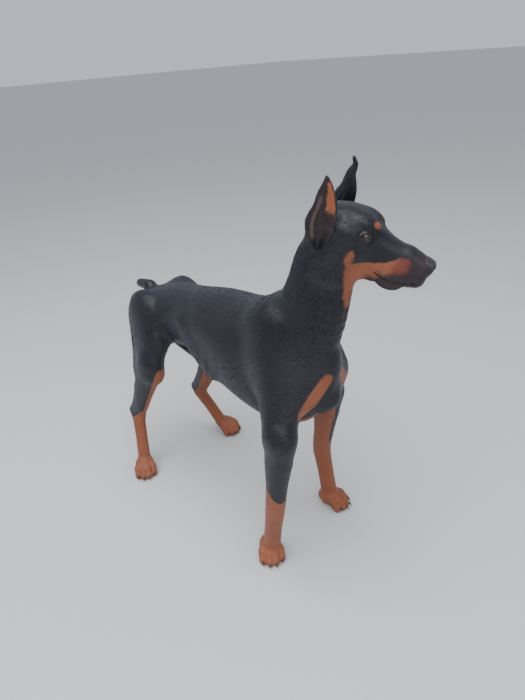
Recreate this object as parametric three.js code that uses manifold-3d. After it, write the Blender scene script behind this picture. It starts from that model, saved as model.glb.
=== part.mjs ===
// A doberman pinscher, life size, standing with braced legs and the head turned to its left.
// Millimetres, +X along the body towards the chest, +Y to the dog's left, +Z up, floor at Z = 0.
import * as THREE from 'three';
import { mergeVertices } from 'three/addons/utils/BufferGeometryUtils.js';
import Module from 'manifold-3d';

const wasm = await Module();
wasm.setup();

// Driving dimensions
const withersHeight = 690;
const gap = 0.3;
const reach = 1200;
const coat = { black: 0x17181c, rust: 0x8a4526, leather: 0x101114, eye: 0x3a1c10, claw: 0x1c1a19 };

// Where the head sits and how it is turned, and the eyes, nose and mouth in the head's own frame
const headPose = { at: [340, 10, 920], yaw: 27, pitch: 24, roll: 0 };
const eyeball = { at: [115, 34.5, -20], radius: 11.5, out: 70, up: 11, lid: 13.4, opening: [24, 12.5], slant: 10 };
const nose = { at: [237, 0, -29], radii: [21, 16.5, 12.5], chin: [243, 0, -38], chinRadii: [11, 9, 10] };
const nostril = { at: [257, 7, -30], radius: 3.3, slit: [249, 15.5, -34], slitRadii: [8, 3, 2.2] };
const mouth = { front: [262, -56], dip: [214, -70], corner: [152, -66], width: 1.2 };

// Each ear is a cupped leaf: its middle line from root to tip, half widths, cup depths and thickness
const ears = {
  ear_right: {
    side: -1,
    line: [[44, 51, -74], [35, 55, -48], [29, 57, -20], [26, 55, 5], [19, 56, 30], [15, 57, 44], [10, 58, 55]],
    half: [7, 21, 27, 22, 15, 8, 1.6],
    cup: [10, 14, 13, 9, 5, 2, 0.5],
    faces: [0.3, 0.94, 0.16],
  },
  ear_left: {
    side: 1,
    line: [[44, 50, -70], [38, 54, -44], [37, 55, -14], [39, 52, 16], [34, 53, 48], [35, 55, 66], [28, 55, 77]],
    half: [7, 20, 24, 18, 9, 4.5, 1.6],
    cup: [10, 14, 13, 9, 4, 2, 0.5],
    faces: [0.3, 0.94, 0.16],
  },
};
const earThickness = [6, 5, 4.4, 3.8, 3.2, 2.8, 2.2];

// One leg is its joints, the turn of its paw and its side (-1 right, 1 left)
const legs = {
  front_right: { fore: true, side: -1, elbow: [328, -119, 410], wrist: [302, -124, 198], paw: [259, -114, 0], turn: -36 },
  front_left: { fore: true, side: 1, elbow: [276, 106, 406], wrist: [232, 127, 192], paw: [258, 133, 0], turn: 14 },
  hind_right: { fore: false, side: -1, knee: [-198, -110, 406], hock: [-326, -120, 176], paw: [-276, -160, 0], turn: -28 },
  hind_left: { fore: false, side: 1, knee: [-160, 110, 398], hock: [-304, 110, 164], paw: [-246, 160, 0], turn: -2 },
};

const radians = THREE.MathUtils.degToRad;
const vector = ([x, y, z]) => new THREE.Vector3(x, y, z);

// Blends two distances so that their surfaces flow into one another over a width k
function melt(a, b, k) {
  const h = Math.max(k - Math.abs(a - b), 0) / k;
  return Math.min(a, b) - (h * h * k) / 4;
}

// A smooth value through a list of [position, value] knots
function through(knots) {
  const xs = knots.map((k) => k[0]);
  const ys = knots.map((k) => k[1]);
  const last = xs.length - 1;
  const slope = (i) => {
    if (i === 0 || i === last) return 0;
    return (ys[i + 1] - ys[i - 1]) / (xs[i + 1] - xs[i - 1]);
  };
  const slopes = xs.map((_, i) => slope(i));
  slopes[0] = (ys[1] - ys[0]) / (xs[1] - xs[0]);
  slopes[last] = (ys[last] - ys[last - 1]) / (xs[last] - xs[last - 1]);
  return (x) => {
    const p = Math.min(Math.max(x, xs[0]), xs[last]);
    let i = 0;
    while (i < last - 1 && p > xs[i + 1]) i += 1;
    const w = xs[i + 1] - xs[i];
    const t = (p - xs[i]) / w;
    const t2 = t * t;
    const t3 = t2 * t;
    return (2 * t3 - 3 * t2 + 1) * ys[i] + (t3 - 2 * t2 + t) * w * slopes[i]
      + (3 * t2 - 2 * t3) * ys[i + 1] + (t3 - t2) * w * slopes[i + 1];
  };
}

// Distance to a barrel along X whose top, underside, half width and widest level follow smooth lines
function barrel({ stations, square, cap }) {
  const line = (key) => through(stations.map((s) => [s.x, s[key]]));
  const [top, under, half, level] = ['top', 'under', 'half', 'level'].map(line);
  const first = stations[0].x;
  const last = stations[stations.length - 1].x;
  return (x, y, z) => {
    const along = Math.min(Math.max(x, first), last);
    const middle = level(along);
    const dz = z - middle;
    const dx = (x - along) * cap;
    const high = dz > 0 ? top(along) - middle : middle - under(along);
    const across = Math.hypot(y, dz);
    if (across < 1e-6) return Math.abs(dx) - Math.min(high, half(along));
    const unit = (Math.abs(y / across / half(along)) ** square + Math.abs(dz / across / high) ** square) ** (1 / square);
    return Math.hypot(across, dx) - 1 / unit;
  };
}

// Distance to a muscle or bone: a tapered rod whose section is thinner along its side vector
function limb(from, to, startRadius, endRadius, flat = 1, side = [0, 1, 0]) {
  const a = vector(from);
  const axis = vector(to).sub(a);
  const length2 = axis.lengthSq();
  const s = vector(side).normalize();
  return (x, y, z) => {
    const px = x - a.x;
    const py = y - a.y;
    const pz = z - a.z;
    const t = Math.min(Math.max((px * axis.x + py * axis.y + pz * axis.z) / length2, 0), 1);
    let ox = px - t * axis.x;
    let oy = py - t * axis.y;
    let oz = pz - t * axis.z;
    const o = ox * s.x + oy * s.y + oz * s.z;
    const grow = o / flat - o;
    ox += s.x * grow;
    oy += s.y * grow;
    oz += s.z * grow;
    const scaled = Math.hypot(ox, oy, oz);
    const radius = startRadius + (endRadius - startRadius) * t;
    return (scaled - radius) * (flat + (1 - flat) * (1 - Math.abs(o) / flat / Math.max(scaled, 1e-6)));
  };
}

// Distance to an egg with its own radii, turned about Z and then about its side
function egg(at, radii, turn = 0, nod = 0) {
  const turned = new THREE.Matrix4().makeRotationFromEuler(new THREE.Euler(0, radians(nod), radians(turn), 'ZYX'));
  const e = turned.elements;
  return (x, y, z) => {
    const px = x - at[0];
    const py = y - at[1];
    const pz = z - at[2];
    const u = (px * e[0] + py * e[1] + pz * e[2]) / radii[0];
    const v = (px * e[4] + py * e[5] + pz * e[6]) / radii[1];
    const w = (px * e[8] + py * e[9] + pz * e[10]) / radii[2];
    const k0 = Math.hypot(u, v, w);
    const k1 = Math.hypot(u / radii[0], v / radii[1], w / radii[2]);
    return k1 < 1e-9 ? -Math.min(...radii) : (k0 * (k0 - 1)) / k1;
  };
}

// Distance to a tube along a bent spine, deep in its own plane and wide across it
function tube(stations, steps) {
  const spine = new THREE.CatmullRomCurve3(stations.map((s) => vector(s.at)));
  const knots = (key) => through(stations.map((s, i) => [i / (stations.length - 1), s[key]]));
  const [deep, wide, yaw] = ['deep', 'wide', 'yaw'].map(knots);
  const points = Array.from({ length: steps + 1 }, (_, i) => spine.getPoint(i / steps));
  return (x, y, z) => {
    let best = Infinity;
    let at = 0;
    let off = [0, 0, 0];
    for (let i = 0; i < steps; i += 1) {
      const a = points[i];
      const b = points[i + 1];
      const [ax, ay, az] = [b.x - a.x, b.y - a.y, b.z - a.z];
      const t = Math.min(Math.max(((x - a.x) * ax + (y - a.y) * ay + (z - a.z) * az) / (ax * ax + ay * ay + az * az), 0), 1);
      const o = [x - a.x - t * ax, y - a.y - t * ay, z - a.z - t * az];
      const far = Math.hypot(...o);
      if (far < best) {
        best = far;
        at = (i + t) / steps;
        off = o;
      }
    }
    if (best < 1e-6) return -Math.min(deep(at), wide(at));
    const turn = radians(yaw(at));
    const across = (-Math.sin(turn) * off[0] + Math.cos(turn) * off[1]) / best;
    const within = Math.sqrt(Math.max(1 - across * across, 0));
    return best - 1 / Math.hypot(across / wide(at), within / deep(at));
  };
}

// The trunk: rump, croup, loin, ribs, withers and forechest
const trunk = barrel({
  square: 2.25,
  cap: 1.7,
  stations: [
    { x: -314, top: 578, under: 474, half: 44, level: 530 },
    { x: -268, top: 594, under: 450, half: 66, level: 528 },
    { x: -190, top: 615, under: 448, half: 80, level: 536 },
    { x: -90, top: 631, under: 452, half: 79, level: 550 },
    { x: 10, top: 648, under: 428, half: 96, level: 546 },
    { x: 110, top: 656, under: 396, half: 107, level: 532 },
    { x: 200, top: 674, under: 374, half: 101, level: 512 },
    { x: 256, top: withersHeight, under: 374, half: 82, level: 498 },
    { x: 312, top: 668, under: 398, half: 66, level: 505 },
    { x: 352, top: 604, under: 440, half: 48, level: 530 },
  ],
});

const neck = tube([
  { at: [276, 0, 606], deep: 104, wide: 70, yaw: 0 },
  { at: [320, 1, 672], deep: 82, wide: 60, yaw: 4 },
  { at: [343, 4, 735], deep: 70, wide: 53, yaw: 12 },
  { at: [356, 11, 796], deep: 62, wide: 49, yaw: 22 },
  { at: [366, 20, 846], deep: 46, wide: 42, yaw: 27 },
], 10);

// The head in its own frame: +X from the occiput to the nose, +Z out of the skull's flat top
const skull = barrel({
  square: 2.5,
  cap: 1.6,
  stations: [
    { x: 18, top: 3, under: -68, half: 36, level: -29 },
    { x: 40, top: 15, under: -90, half: 46, level: -30 },
    { x: 72, top: 20, under: -100, half: 49, level: -34 },
    { x: 104, top: 17, under: -103, half: 43, level: -38 },
    { x: 130, top: 4, under: -102, half: 35, level: -42 },
    { x: 163, top: -9, under: -95, half: 29, level: -46 },
    { x: 205, top: -14, under: -86, half: 25, level: -50 },
    { x: 238, top: -19, under: -78, half: 21, level: -50 },
  ],
});

const bothSides = (make) => {
  const one = make(1);
  return (x, y, z) => one(x, Math.abs(y), z);
};

const headParts = [
  [bothSides(() => egg([78, 34, -48], [40, 19, 40])), 22],
  [bothSides(() => egg([112, 26, 2], [20, 12, 9], -12)), 18],
  [bothSides(() => egg([92, 41, -26], [34, 11, 10], -14)), 14],
  [bothSides(() => limb([158, 19, -62], [230, 14, -58], 16, 15, 0.66)), 12],
  [bothSides(() => egg([190, 16, -86], [28, 8, 18], -6)), 10],
  [limb([70, 0, -90], [226, 0, -74], 22, 11, 0.9), 14],
  [limb([84, 0, -98], [156, 0, -92], 18, 15), 14],
  [limb([205, 0, -32], [240, 0, -38], 19, 16), 12],
];

function headField(x, y, z) {
  let d = skull(x, y, z);
  for (const [part, k] of headParts) d = melt(d, part(x, y, z), k);
  return d;
}

// Moves a distance from a posed frame into the dog's frame
function posed(field, matrix) {
  const e = matrix.clone().invert().elements;
  return (x, y, z) => field(
    x * e[0] + y * e[4] + z * e[8] + e[12],
    x * e[1] + y * e[5] + z * e[9] + e[13],
    x * e[2] + y * e[6] + z * e[10] + e[14],
  );
}

function poseMatrix({ at, yaw, pitch = 0, roll = 0 }) {
  const turn = new THREE.Euler(radians(roll), radians(pitch), radians(yaw), 'ZYX');
  return new THREE.Matrix4().makeRotationFromEuler(turn).setPosition(...at);
}

const headMatrix = poseMatrix(headPose);
const head = posed(headField, headMatrix);

// One paw in its own frame: +X towards the toes, four arched toes, a palm and its pad
const pawSize = { toeOffset: [-25, -8.5, 8.5, 25], toeReach: [31, 42, 42, 31], toeRadius: 12, palm: [36, 29, 21] };

function pawField(x, y, z) {
  let d = egg([-2, 0, 27], pawSize.palm)(x, y, z);
  d = melt(d, egg([-12, 0, 8], [18, 19, 10])(x, y, z), 6);
  return pawSize.toeOffset.reduce((sum, offset, i) => melt(sum, toes[i](x, y, z), 4), d);
}

const toes = pawSize.toeOffset.map((offset, i) => {
  const ahead = pawSize.toeReach[i];
  const r = pawSize.toeRadius;
  const knuckle = limb([4, offset * 0.72, 32], [ahead - 13, offset * 0.96, 27], r, r - 0.5, 0.82);
  const tip = limb([ahead - 13, offset * 0.96, 26], [ahead, offset, 10.6], r - 0.5, r, 0.82);
  return (x, y, z) => melt(knuckle(x, y, z), tip(x, y, z), 4);
});

const pawMatrices = Object.fromEntries(Object.entries(legs).map(([name, leg]) => [
  name, poseMatrix({ at: leg.paw, yaw: leg.turn }),
]));

// Moves a point by a share of the way to another
const between = (a, b, t) => a.map((v, i) => v + (b[i] - v) * t);
const shifted = (a, b) => a.map((v, i) => v + b[i]);

function foreleg({ side, elbow, wrist, paw }, name) {
  const shoulderTop = [252, side * 56, 632];
  const shoulderPoint = [308, side * 66, 516];
  const ankle = between(wrist, paw, 0.72);
  return [
    [limb(shoulderTop, shoulderPoint, 54, 38, 0.6), 34],
    [limb(shoulderPoint, elbow, 42, 33, 0.8), 30],
    [limb([262, side * 74, 556], shifted(elbow, [-12, 0, 8]), 44, 24, 0.62), 30],
    [limb(shifted(elbow, [-12, 0, 12]), shifted(elbow, [2, 0, -60]), 14, 17, 0.9), 16],
    [limb(shifted(elbow, [4, 0, 0]), between(elbow, wrist, 0.55), 33, 26, 0.86), 24],
    [limb(between(elbow, wrist, 0.4), wrist, 28, 21.5, 0.88), 20],
    [limb(wrist, ankle, 22.5, 21, 1), 14],
    [egg(shifted(wrist, [-19, 0, -18]), [9, 10, 13]), 8],
    [posed(pawField, pawMatrices[name]), 12],
  ];
}

function hindleg({ side, knee, hock, paw }, name) {
  const hip = [-236, side * 66, 528];
  const ankle = between(hock, paw, 0.72);
  const heel = shifted(hock, [-24, 0, 10]);
  return [
    [limb(hip, knee, 75, 39, 0.62), 38],
    [limb([-280, side * 60, 522], shifted(knee, [-58, 0, -34]), 49, 36, 0.66), 34],
    [limb(shifted(knee, [-4, 0, 0]), shifted(knee, [0, 0, -30]), 38, 32, 0.8), 24],
    [limb(shifted(knee, [-18, 0, -40]), between(knee, hock, 0.62), 38, 27, 0.74), 26],
    [limb(between(knee, hock, 0.45), hock, 30, 21, 0.8), 20],
    [limb(shifted(between(knee, hock, 0.45), [-28, 0, 6]), heel, 14, 11, 0.8), 16],
    [limb(heel, hock, 14, 20, 0.85), 12],
    [limb(hock, ankle, 22, 19, 0.85), 14],
    [posed(pawField, pawMatrices[name]), 12],
  ];
}

const legParts = Object.fromEntries(Object.entries(legs).map(([name, leg]) => [
  name, leg.fore ? foreleg(leg, name) : hindleg(leg, name),
]));

const trunkParts = [
  [neck, 46],
  [bothSides(() => egg([334, 34, 505], [34, 28, 54], 10)), 28],
  [egg([356, 0, 545], [32, 30, 52]), 26],
  [limb([-320, 0, 582], [-372, 0, 578], 17, 13), 16],
];

// The whole skin as one distance in the dog's own frame
function body(x, y, z) {
  let d = trunk(x, y, z);
  for (const [part, k] of trunkParts) d = melt(d, part(x, y, z), k);
  for (const parts of Object.values(legParts)) {
    for (const [part, k] of parts) d = melt(d, part(x, y, z), k);
  }
  return melt(d, head(x, y, z), 26);
}

// Nets the zero surface of a distance inside a box, in cells of one length each way, as a closed mesh
function net(field, box, cell) {
  const [low, high] = box;
  const count = low.map((v, i) => Math.ceil((high[i] - v) / cell[i]) + 1);
  const [nx, ny, nz] = count;
  const inBox = (p) => Math.max(...p.map((v, i) => Math.max(low[i] + cell[i] * 1.01 - v, v - high[i] + cell[i] * 1.01)));
  const closed = (x, y, z) => Math.max(field(x, y, z), inBox([x, y, z]));
  const index = (i, j, k) => (k * ny + j) * nx + i;
  const place = (i, j, k) => [low[0] + i * cell[0], low[1] + j * cell[1], low[2] + k * cell[2]];
  const values = new Float64Array(nx * ny * nz);
  for (let k = 0; k < nz; k += 1) {
    for (let j = 0; j < ny; j += 1) {
      for (let i = 0; i < nx; i += 1) values[index(i, j, k)] = closed(...place(i, j, k));
    }
  }
  const corners = Array.from({ length: 8 }, (_, c) => [c & 1, (c >> 1) & 1, (c >> 2) & 1]);
  const edges = corners.flatMap((a, i) => corners.map((b, j) => [i, j]).filter(([p, q]) => p < q
    && Math.abs(a[0] - corners[q][0]) + Math.abs(a[1] - corners[q][1]) + Math.abs(a[2] - corners[q][2]) === 1));
  const points = [];
  const cells = new Map();
  for (let k = 0; k < nz - 1; k += 1) {
    for (let j = 0; j < ny - 1; j += 1) {
      for (let i = 0; i < nx - 1; i += 1) {
        const v = corners.map(([a, b, c]) => values[index(i + a, j + b, k + c)]);
        const inside = v.filter((d) => d < 0).length;
        if (inside === 0 || inside === 8) continue;
        const sum = [0, 0, 0];
        let crossings = 0;
        for (const [p, q] of edges) {
          if (v[p] < 0 === v[q] < 0) continue;
          const t = v[p] / (v[p] - v[q]);
          for (let a = 0; a < 3; a += 1) sum[a] += corners[p][a] + t * (corners[q][a] - corners[p][a]);
          crossings += 1;
        }
        cells.set(index(i, j, k), points.length);
        points.push(sum.map((s, a) => low[a] + ([i, j, k][a] + s / crossings) * cell[a]));
      }
    }
  }
  const settled = points.map((p) => settle(closed, p, cell));
  const triangles = [];
  const shorter = (a, b, c, d) => settled[a].distanceToSquared(settled[c]) < settled[b].distanceToSquared(settled[d]);
  const quad = (a, b, c, d) => {
    if (shorter(a, b, c, d)) triangles.push(a, b, c, a, c, d);
    else triangles.push(a, b, d, b, c, d);
  };
  const steps = [[1, 0, 0], [0, 1, 0], [0, 0, 1]];
  for (let k = 1; k < nz - 1; k += 1) {
    for (let j = 1; j < ny - 1; j += 1) {
      for (let i = 1; i < nx - 1; i += 1) {
        const here = values[index(i, j, k)] < 0;
        steps.forEach(([a, b, c], axis) => {
          const there = values[index(i + a, j + b, k + c)] < 0;
          if (here === there) return;
          const u = steps[(axis + 1) % 3];
          const v = steps[(axis + 2) % 3];
          const at = (m, n) => cells.get(index(i - m * u[0] - n * v[0], j - m * u[1] - n * v[1], k - m * u[2] - n * v[2]));
          const ring = [at(1, 1), at(0, 1), at(0, 0), at(1, 0)];
          quad(...(here ? ring : ring.reverse()));
        });
      }
    }
  }
  return { points: settled, triangles };
}

// Moves a point onto the zero surface along its slope, by a little over half a cell at most
function settle(field, start, cell) {
  const p = vector(start);
  const e = 0.4;
  for (let round = 0; round < 3; round += 1) {
    const d = field(p.x, p.y, p.z);
    const slope = new THREE.Vector3(
      field(p.x + e, p.y, p.z) - field(p.x - e, p.y, p.z),
      field(p.x, p.y + e, p.z) - field(p.x, p.y - e, p.z),
      field(p.x, p.y, p.z + e) - field(p.x, p.y, p.z - e),
    ).divideScalar(2 * e);
    p.addScaledVector(slope, -d / Math.max(slope.lengthSq(), 0.2));
  }
  const moved = p.clone().sub(vector(start)).clampLength(0, Math.min(...cell) * 0.6);
  return vector(start).add(moved);
}

const solidFrom = (vertProperties, triVerts) => new wasm.Manifold(new wasm.Mesh({ numProp: 3, vertProperties, triVerts }));

function netSolid(field, box, cell) {
  const { points, triangles } = net(field, box, cell);
  return solidFrom(new Float32Array(points.flatMap((p) => p.toArray())), new Uint32Array(triangles));
}

function solidOf(geometry, matrix = new THREE.Matrix4()) {
  const bare = new THREE.BufferGeometry().setAttribute('position', geometry.attributes.position.clone());
  if (geometry.index) bare.setIndex(geometry.index.clone());
  const merged = mergeVertices(bare.applyMatrix4(matrix), 1e-4);
  return solidFrom(merged.attributes.position.array, new Uint32Array(merged.index.array));
}

// The largest closed piece of a solid
const largest = (solid) => solid.decompose().sort((a, b) => b.volume() - a.volume())[0];

// Everything on the side of a plane that its normal points to
function beyond(point, normal, inset = 0) {
  const n = vector(normal).normalize();
  const turn = new THREE.Quaternion().setFromUnitVectors(new THREE.Vector3(0, 0, 1), n);
  const centre = vector(point).addScaledVector(n, reach / 2 + inset);
  const matrix = new THREE.Matrix4().compose(centre, turn, new THREE.Vector3(1, 1, 1));
  return solidOf(new THREE.BoxGeometry(reach, reach, reach), matrix);
}

const toDog = (point, matrix) => vector(point).applyMatrix4(matrix).toArray();
const turned = (direction, matrix) => vector(direction).transformDirection(matrix).toArray();

// Where the nodes are parted: a point on each plane and the way it looks
const cuts = {
  neckBase: { at: [262, 0, 694], normal: [0.74, 0, 0.67] },
  tailBase: { at: [-332, 0, 574], normal: [-0.96, 0, 0.28] },
};
const nape = { at: [-12, 0, 12], normal: [0.947, 0, 0.319] };
const throat = { at: [24, 0, -96], normal: [0.254, 0, 0.967] };
const pawTop = 66;
const half = gap / 2;
const cells = {
  torso: [40, 27, 28],
  sheath: [14, 9, 9],
  neck: [22, 20, 26],
  head: [11, 9.6, 9.4],
  leg: [17, 16, 31],
  paw: [11.5, 8.5, 10.5],
  tail: [12, 10, 10],
  nose: [6, 5.5, 5.5],
};

function legCutter(leg, grow) {
  const side = leg.side;
  if (leg.fore) {
    const capsule = new THREE.CapsuleGeometry(84 + grow, 700, 6, 18).rotateX(Math.PI / 2);
    const top = shifted(leg.elbow, [4, side * 22, 42]);
    return solidOf(capsule, new THREE.Matrix4().makeTranslation(top[0], top[1], top[2] - 350));
  }
  const ball = new THREE.SphereGeometry(1, 24, 14).rotateX(Math.PI / 2)
    .scale(162 + grow, 122 + grow, 205 + grow).translate(-236, side * 152, 372);
  const box = new THREE.BoxGeometry(400 + 2 * grow, 260 + 2 * grow, 440)
    .translate(-300, side * 160, 152);
  return solidOf(ball).add(solidOf(box));
}

// A short rod round the docked tail's root, so that the tail node takes none of the rump
function tailCutter(grow) {
  const rod = new THREE.CylinderGeometry(34 + grow, 34 + grow, 120, 20).rotateZ(Math.PI / 2);
  return solidOf(rod, new THREE.Matrix4().makeTranslation(-392, 0, 576))
    .intersect(beyond(cuts.tailBase.at, cuts.tailBase.normal, -grow));
}

// The male sheath under the belly
const sheath = limb([-212, 0, 432], [-122, 0, 421], 15, 18, 0.9);

// The head's side of the two planes behind the ears and under the throat, in the dog's or the head's frame
function headCutter(grow, matrix) {
  const sides = [nape, throat].map(({ at, normal }) => beyond(toDog(at, matrix), turned(normal, matrix), -grow));
  return sides[0].intersect(sides[1]);
}

function torsoSolid() {
  let solid = netSolid(body, [[-420, -190, 300], [430, 190, 760]], cells.torso);
  solid = solid.add(netSolid(sheath, [[-250, -36, 380], [-80, 36, 470]], cells.sheath));
  solid = solid.subtract(beyond(cuts.neckBase.at, cuts.neckBase.normal, -half));
  solid = solid.subtract(tailCutter(half));
  for (const leg of Object.values(legs)) solid = solid.subtract(legCutter(leg, half));
  return largest(solid);
}

function neckSolid() {
  const solid = netSolid(body, [[180, -150, 520], [480, 170, 960]], cells.neck);
  return largest(solid.intersect(beyond(cuts.neckBase.at, cuts.neckBase.normal, half))
    .subtract(headCutter(half, headMatrix)));
}

function tailSolid() {
  const solid = netSolid(body, [[-420, -60, 500], [-300, 60, 650]], cells.tail);
  return largest(solid.intersect(tailCutter(-half)));
}

function legSolid(name) {
  const leg = legs[name];
  const box = leg.fore
    ? [[leg.paw[0] - 100, leg.side * 120 - 130, 20], [leg.elbow[0] + 130, leg.side * 120 + 130, 590]]
    : [[-440, leg.side * 120 - 150, 20], [-30, leg.side * 120 + 150, 640]];
  const solid = netSolid(body, box, cells.leg);
  return largest(solid.intersect(legCutter(leg, -half)).intersect(beyond([0, 0, pawTop], [0, 0, 1], half)));
}

// A claw in the paw's frame: a flattened horn that bends down from the toe to its tip
function clawGeometry(i, grow = 0) {
  const root = [pawSize.toeReach[i] + 3, pawSize.toeOffset[i], 17];
  const curve = new THREE.QuadraticBezierCurve3(
    vector(root),
    vector(shifted(root, [11, 0, 0])),
    vector(shifted(root, [16, 0, -10])),
  );
  const sides = 6;
  const rings = 4;
  const points = [];
  for (let r = 0; r < rings; r += 1) {
    const along = r / rings;
    const centre = curve.getPoint(along);
    const tangent = curve.getTangent(along);
    const up = new THREE.Vector3(-tangent.z, 0, tangent.x);
    const radius = 4.6 * (1 - along) ** 0.6 + grow;
    for (let k = 0; k < sides; k += 1) {
      const a = (2 * Math.PI * k) / sides;
      points.push(centre.clone().addScaledVector(up, Math.sin(a) * radius)
        .add(new THREE.Vector3(0, Math.cos(a) * radius * 0.72, 0)));
    }
  }
  const back = points.length;
  points.push(curve.getPoint(0).add(new THREE.Vector3(-grow, 0, 0)));
  points.push(curve.getPoint(1).addScaledVector(curve.getTangent(1), grow));
  const index = [];
  for (let k = 0; k < sides; k += 1) {
    const next = (k + 1) % sides;
    index.push(back, next, k);
    for (let r = 0; r < rings - 1; r += 1) {
      const a = r * sides + k;
      const b = r * sides + next;
      index.push(a, b, b + sides, a, b + sides, a + sides);
    }
    index.push((rings - 1) * sides + k, (rings - 1) * sides + next, back + 1);
  }
  const geometry = new THREE.BufferGeometry().setFromPoints(points);
  geometry.setIndex(index);
  return geometry;
}

function pawSolid(name) {
  const matrix = pawMatrices[name];
  const inPaw = posed(body, matrix.clone().invert());
  let solid = netSolid(inPaw, [[-76, -62, -14], [80, 62, 92]], cells.paw);
  solid = solid.intersect(beyond([0, 0, pawTop], [0, 0, -1], half)).intersect(beyond([0, 0, 0], [0, 0, 1], 0));
  for (const i of toes.keys()) solid = solid.subtract(solidOf(clawGeometry(i, gap)));
  return largest(solid);
}

// The head is made in its own frame
const inHead = posed(body, headMatrix.clone().invert());
const headBox = [[-60, -92, -150], [290, 92, 60]];

// The way an eye looks, and a frame with X along it and Z up the lids
function eyeMatrix(side) {
  const turn = new THREE.Euler(0, radians(-eyeball.up), radians(side * eyeball.out), 'ZYX');
  const centre = [eyeball.at[0], side * eyeball.at[1], eyeball.at[2]];
  return new THREE.Matrix4().makeRotationFromEuler(turn).setPosition(...centre)
    .multiply(new THREE.Matrix4().makeRotationX(radians(side * -eyeball.slant)));
}

// A lens seen along X, extruded from just inside the lids outwards
function lensGeometry(width, height) {
  const rise = height / 2;
  const radius = ((width / 2) ** 2 + rise ** 2) / (2 * rise);
  const half = Math.asin(width / 2 / radius);
  const shape = new THREE.Shape();
  shape.absarc(0, rise - radius, radius, Math.PI / 2 - half, Math.PI / 2 + half, false);
  shape.absarc(0, radius - rise, radius, 1.5 * Math.PI - half, 1.5 * Math.PI + half, false);
  return new THREE.ExtrudeGeometry(shape, { depth: 40, bevelEnabled: false, curveSegments: 7 })
    .rotateX(Math.PI / 2).rotateZ(Math.PI / 2);
}

const ball = (radius, matrix) => solidOf(new THREE.SphereGeometry(radius, 16, 10), matrix);

// Upper and lower lid as one shell over the eyeball with an almond opening
function lidSolid(side) {
  const matrix = eyeMatrix(side);
  const front = solidOf(new THREE.BoxGeometry(40, 60, 60).translate(14, 0, 0), matrix);
  return ball(eyeball.lid, matrix).intersect(front)
    .subtract(solidOf(lensGeometry(...eyeball.opening), matrix));
}

// The slit between the lips: a thin curved blade right across the muzzle
function mouthBlade() {
  const knots = [mouth.front, mouth.dip, mouth.corner].map(([x, z]) => new THREE.Vector2(x, z));
  const middle = new THREE.SplineCurve(knots).getPoints(10);
  const upper = middle.map((p) => new THREE.Vector2(p.x, p.y + mouth.width / 2));
  const lower = middle.map((p) => new THREE.Vector2(p.x, p.y - mouth.width / 2)).reverse();
  const geometry = new THREE.ExtrudeGeometry(new THREE.Shape([...upper, ...lower]), { depth: 120, bevelEnabled: false });
  return solidOf(geometry.rotateX(Math.PI / 2).translate(0, 60, 0));
}

const noseField = (x, y, z) => melt(egg(nose.at, nose.radii)(x, y, z), egg(nose.chin, nose.chinRadii)(x, y, z), 8);

const plainNose = netSolid(noseField, [[208, -27, -60], [268, 27, -6]], cells.nose);

function noseSolid() {
  let solid = plainNose;
  for (const side of [-1, 1]) {
    const [x, y, z] = nostril.at;
    const bore = new THREE.CapsuleGeometry(nostril.radius, 10, 4, 10).rotateZ(Math.PI / 2 - side * 0.35);
    solid = solid.subtract(solidOf(bore.translate(x, side * y, z)));
    const slit = new THREE.SphereGeometry(1, 12, 8).scale(...nostril.slitRadii).rotateZ(-side * 0.5)
      .translate(nostril.slit[0], side * nostril.slit[1], nostril.slit[2]);
    solid = solid.subtract(solidOf(slit));
  }
  return largest(solid);
}

const plainHead = netSolid(inHead, headBox, cells.head);

function headSolid() {
  let solid = plainHead.intersect(headCutter(-half, new THREE.Matrix4()));
  for (const side of [-1, 1]) solid = solid.add(lidSolid(side));
  for (const side of [-1, 1]) solid = solid.subtract(ball(eyeball.radius + gap, eyeMatrix(side)));
  return largest(solid.subtract(mouthBlade()).subtract(swollen(plainNose, gap + 0.1)));
}

// A closed mesh moved outwards by a small amount along its own normals
function swollen(solid, amount) {
  const geometry = geometryOf(solid);
  const { position, normal } = geometry.attributes;
  for (let i = 0; i < position.count; i += 1) {
    position.setXYZ(
      i,
      position.getX(i) + normal.getX(i) * amount,
      position.getY(i) + normal.getY(i) * amount,
      position.getZ(i) + normal.getZ(i) * amount,
    );
  }
  return solidOf(geometry);
}

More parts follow.
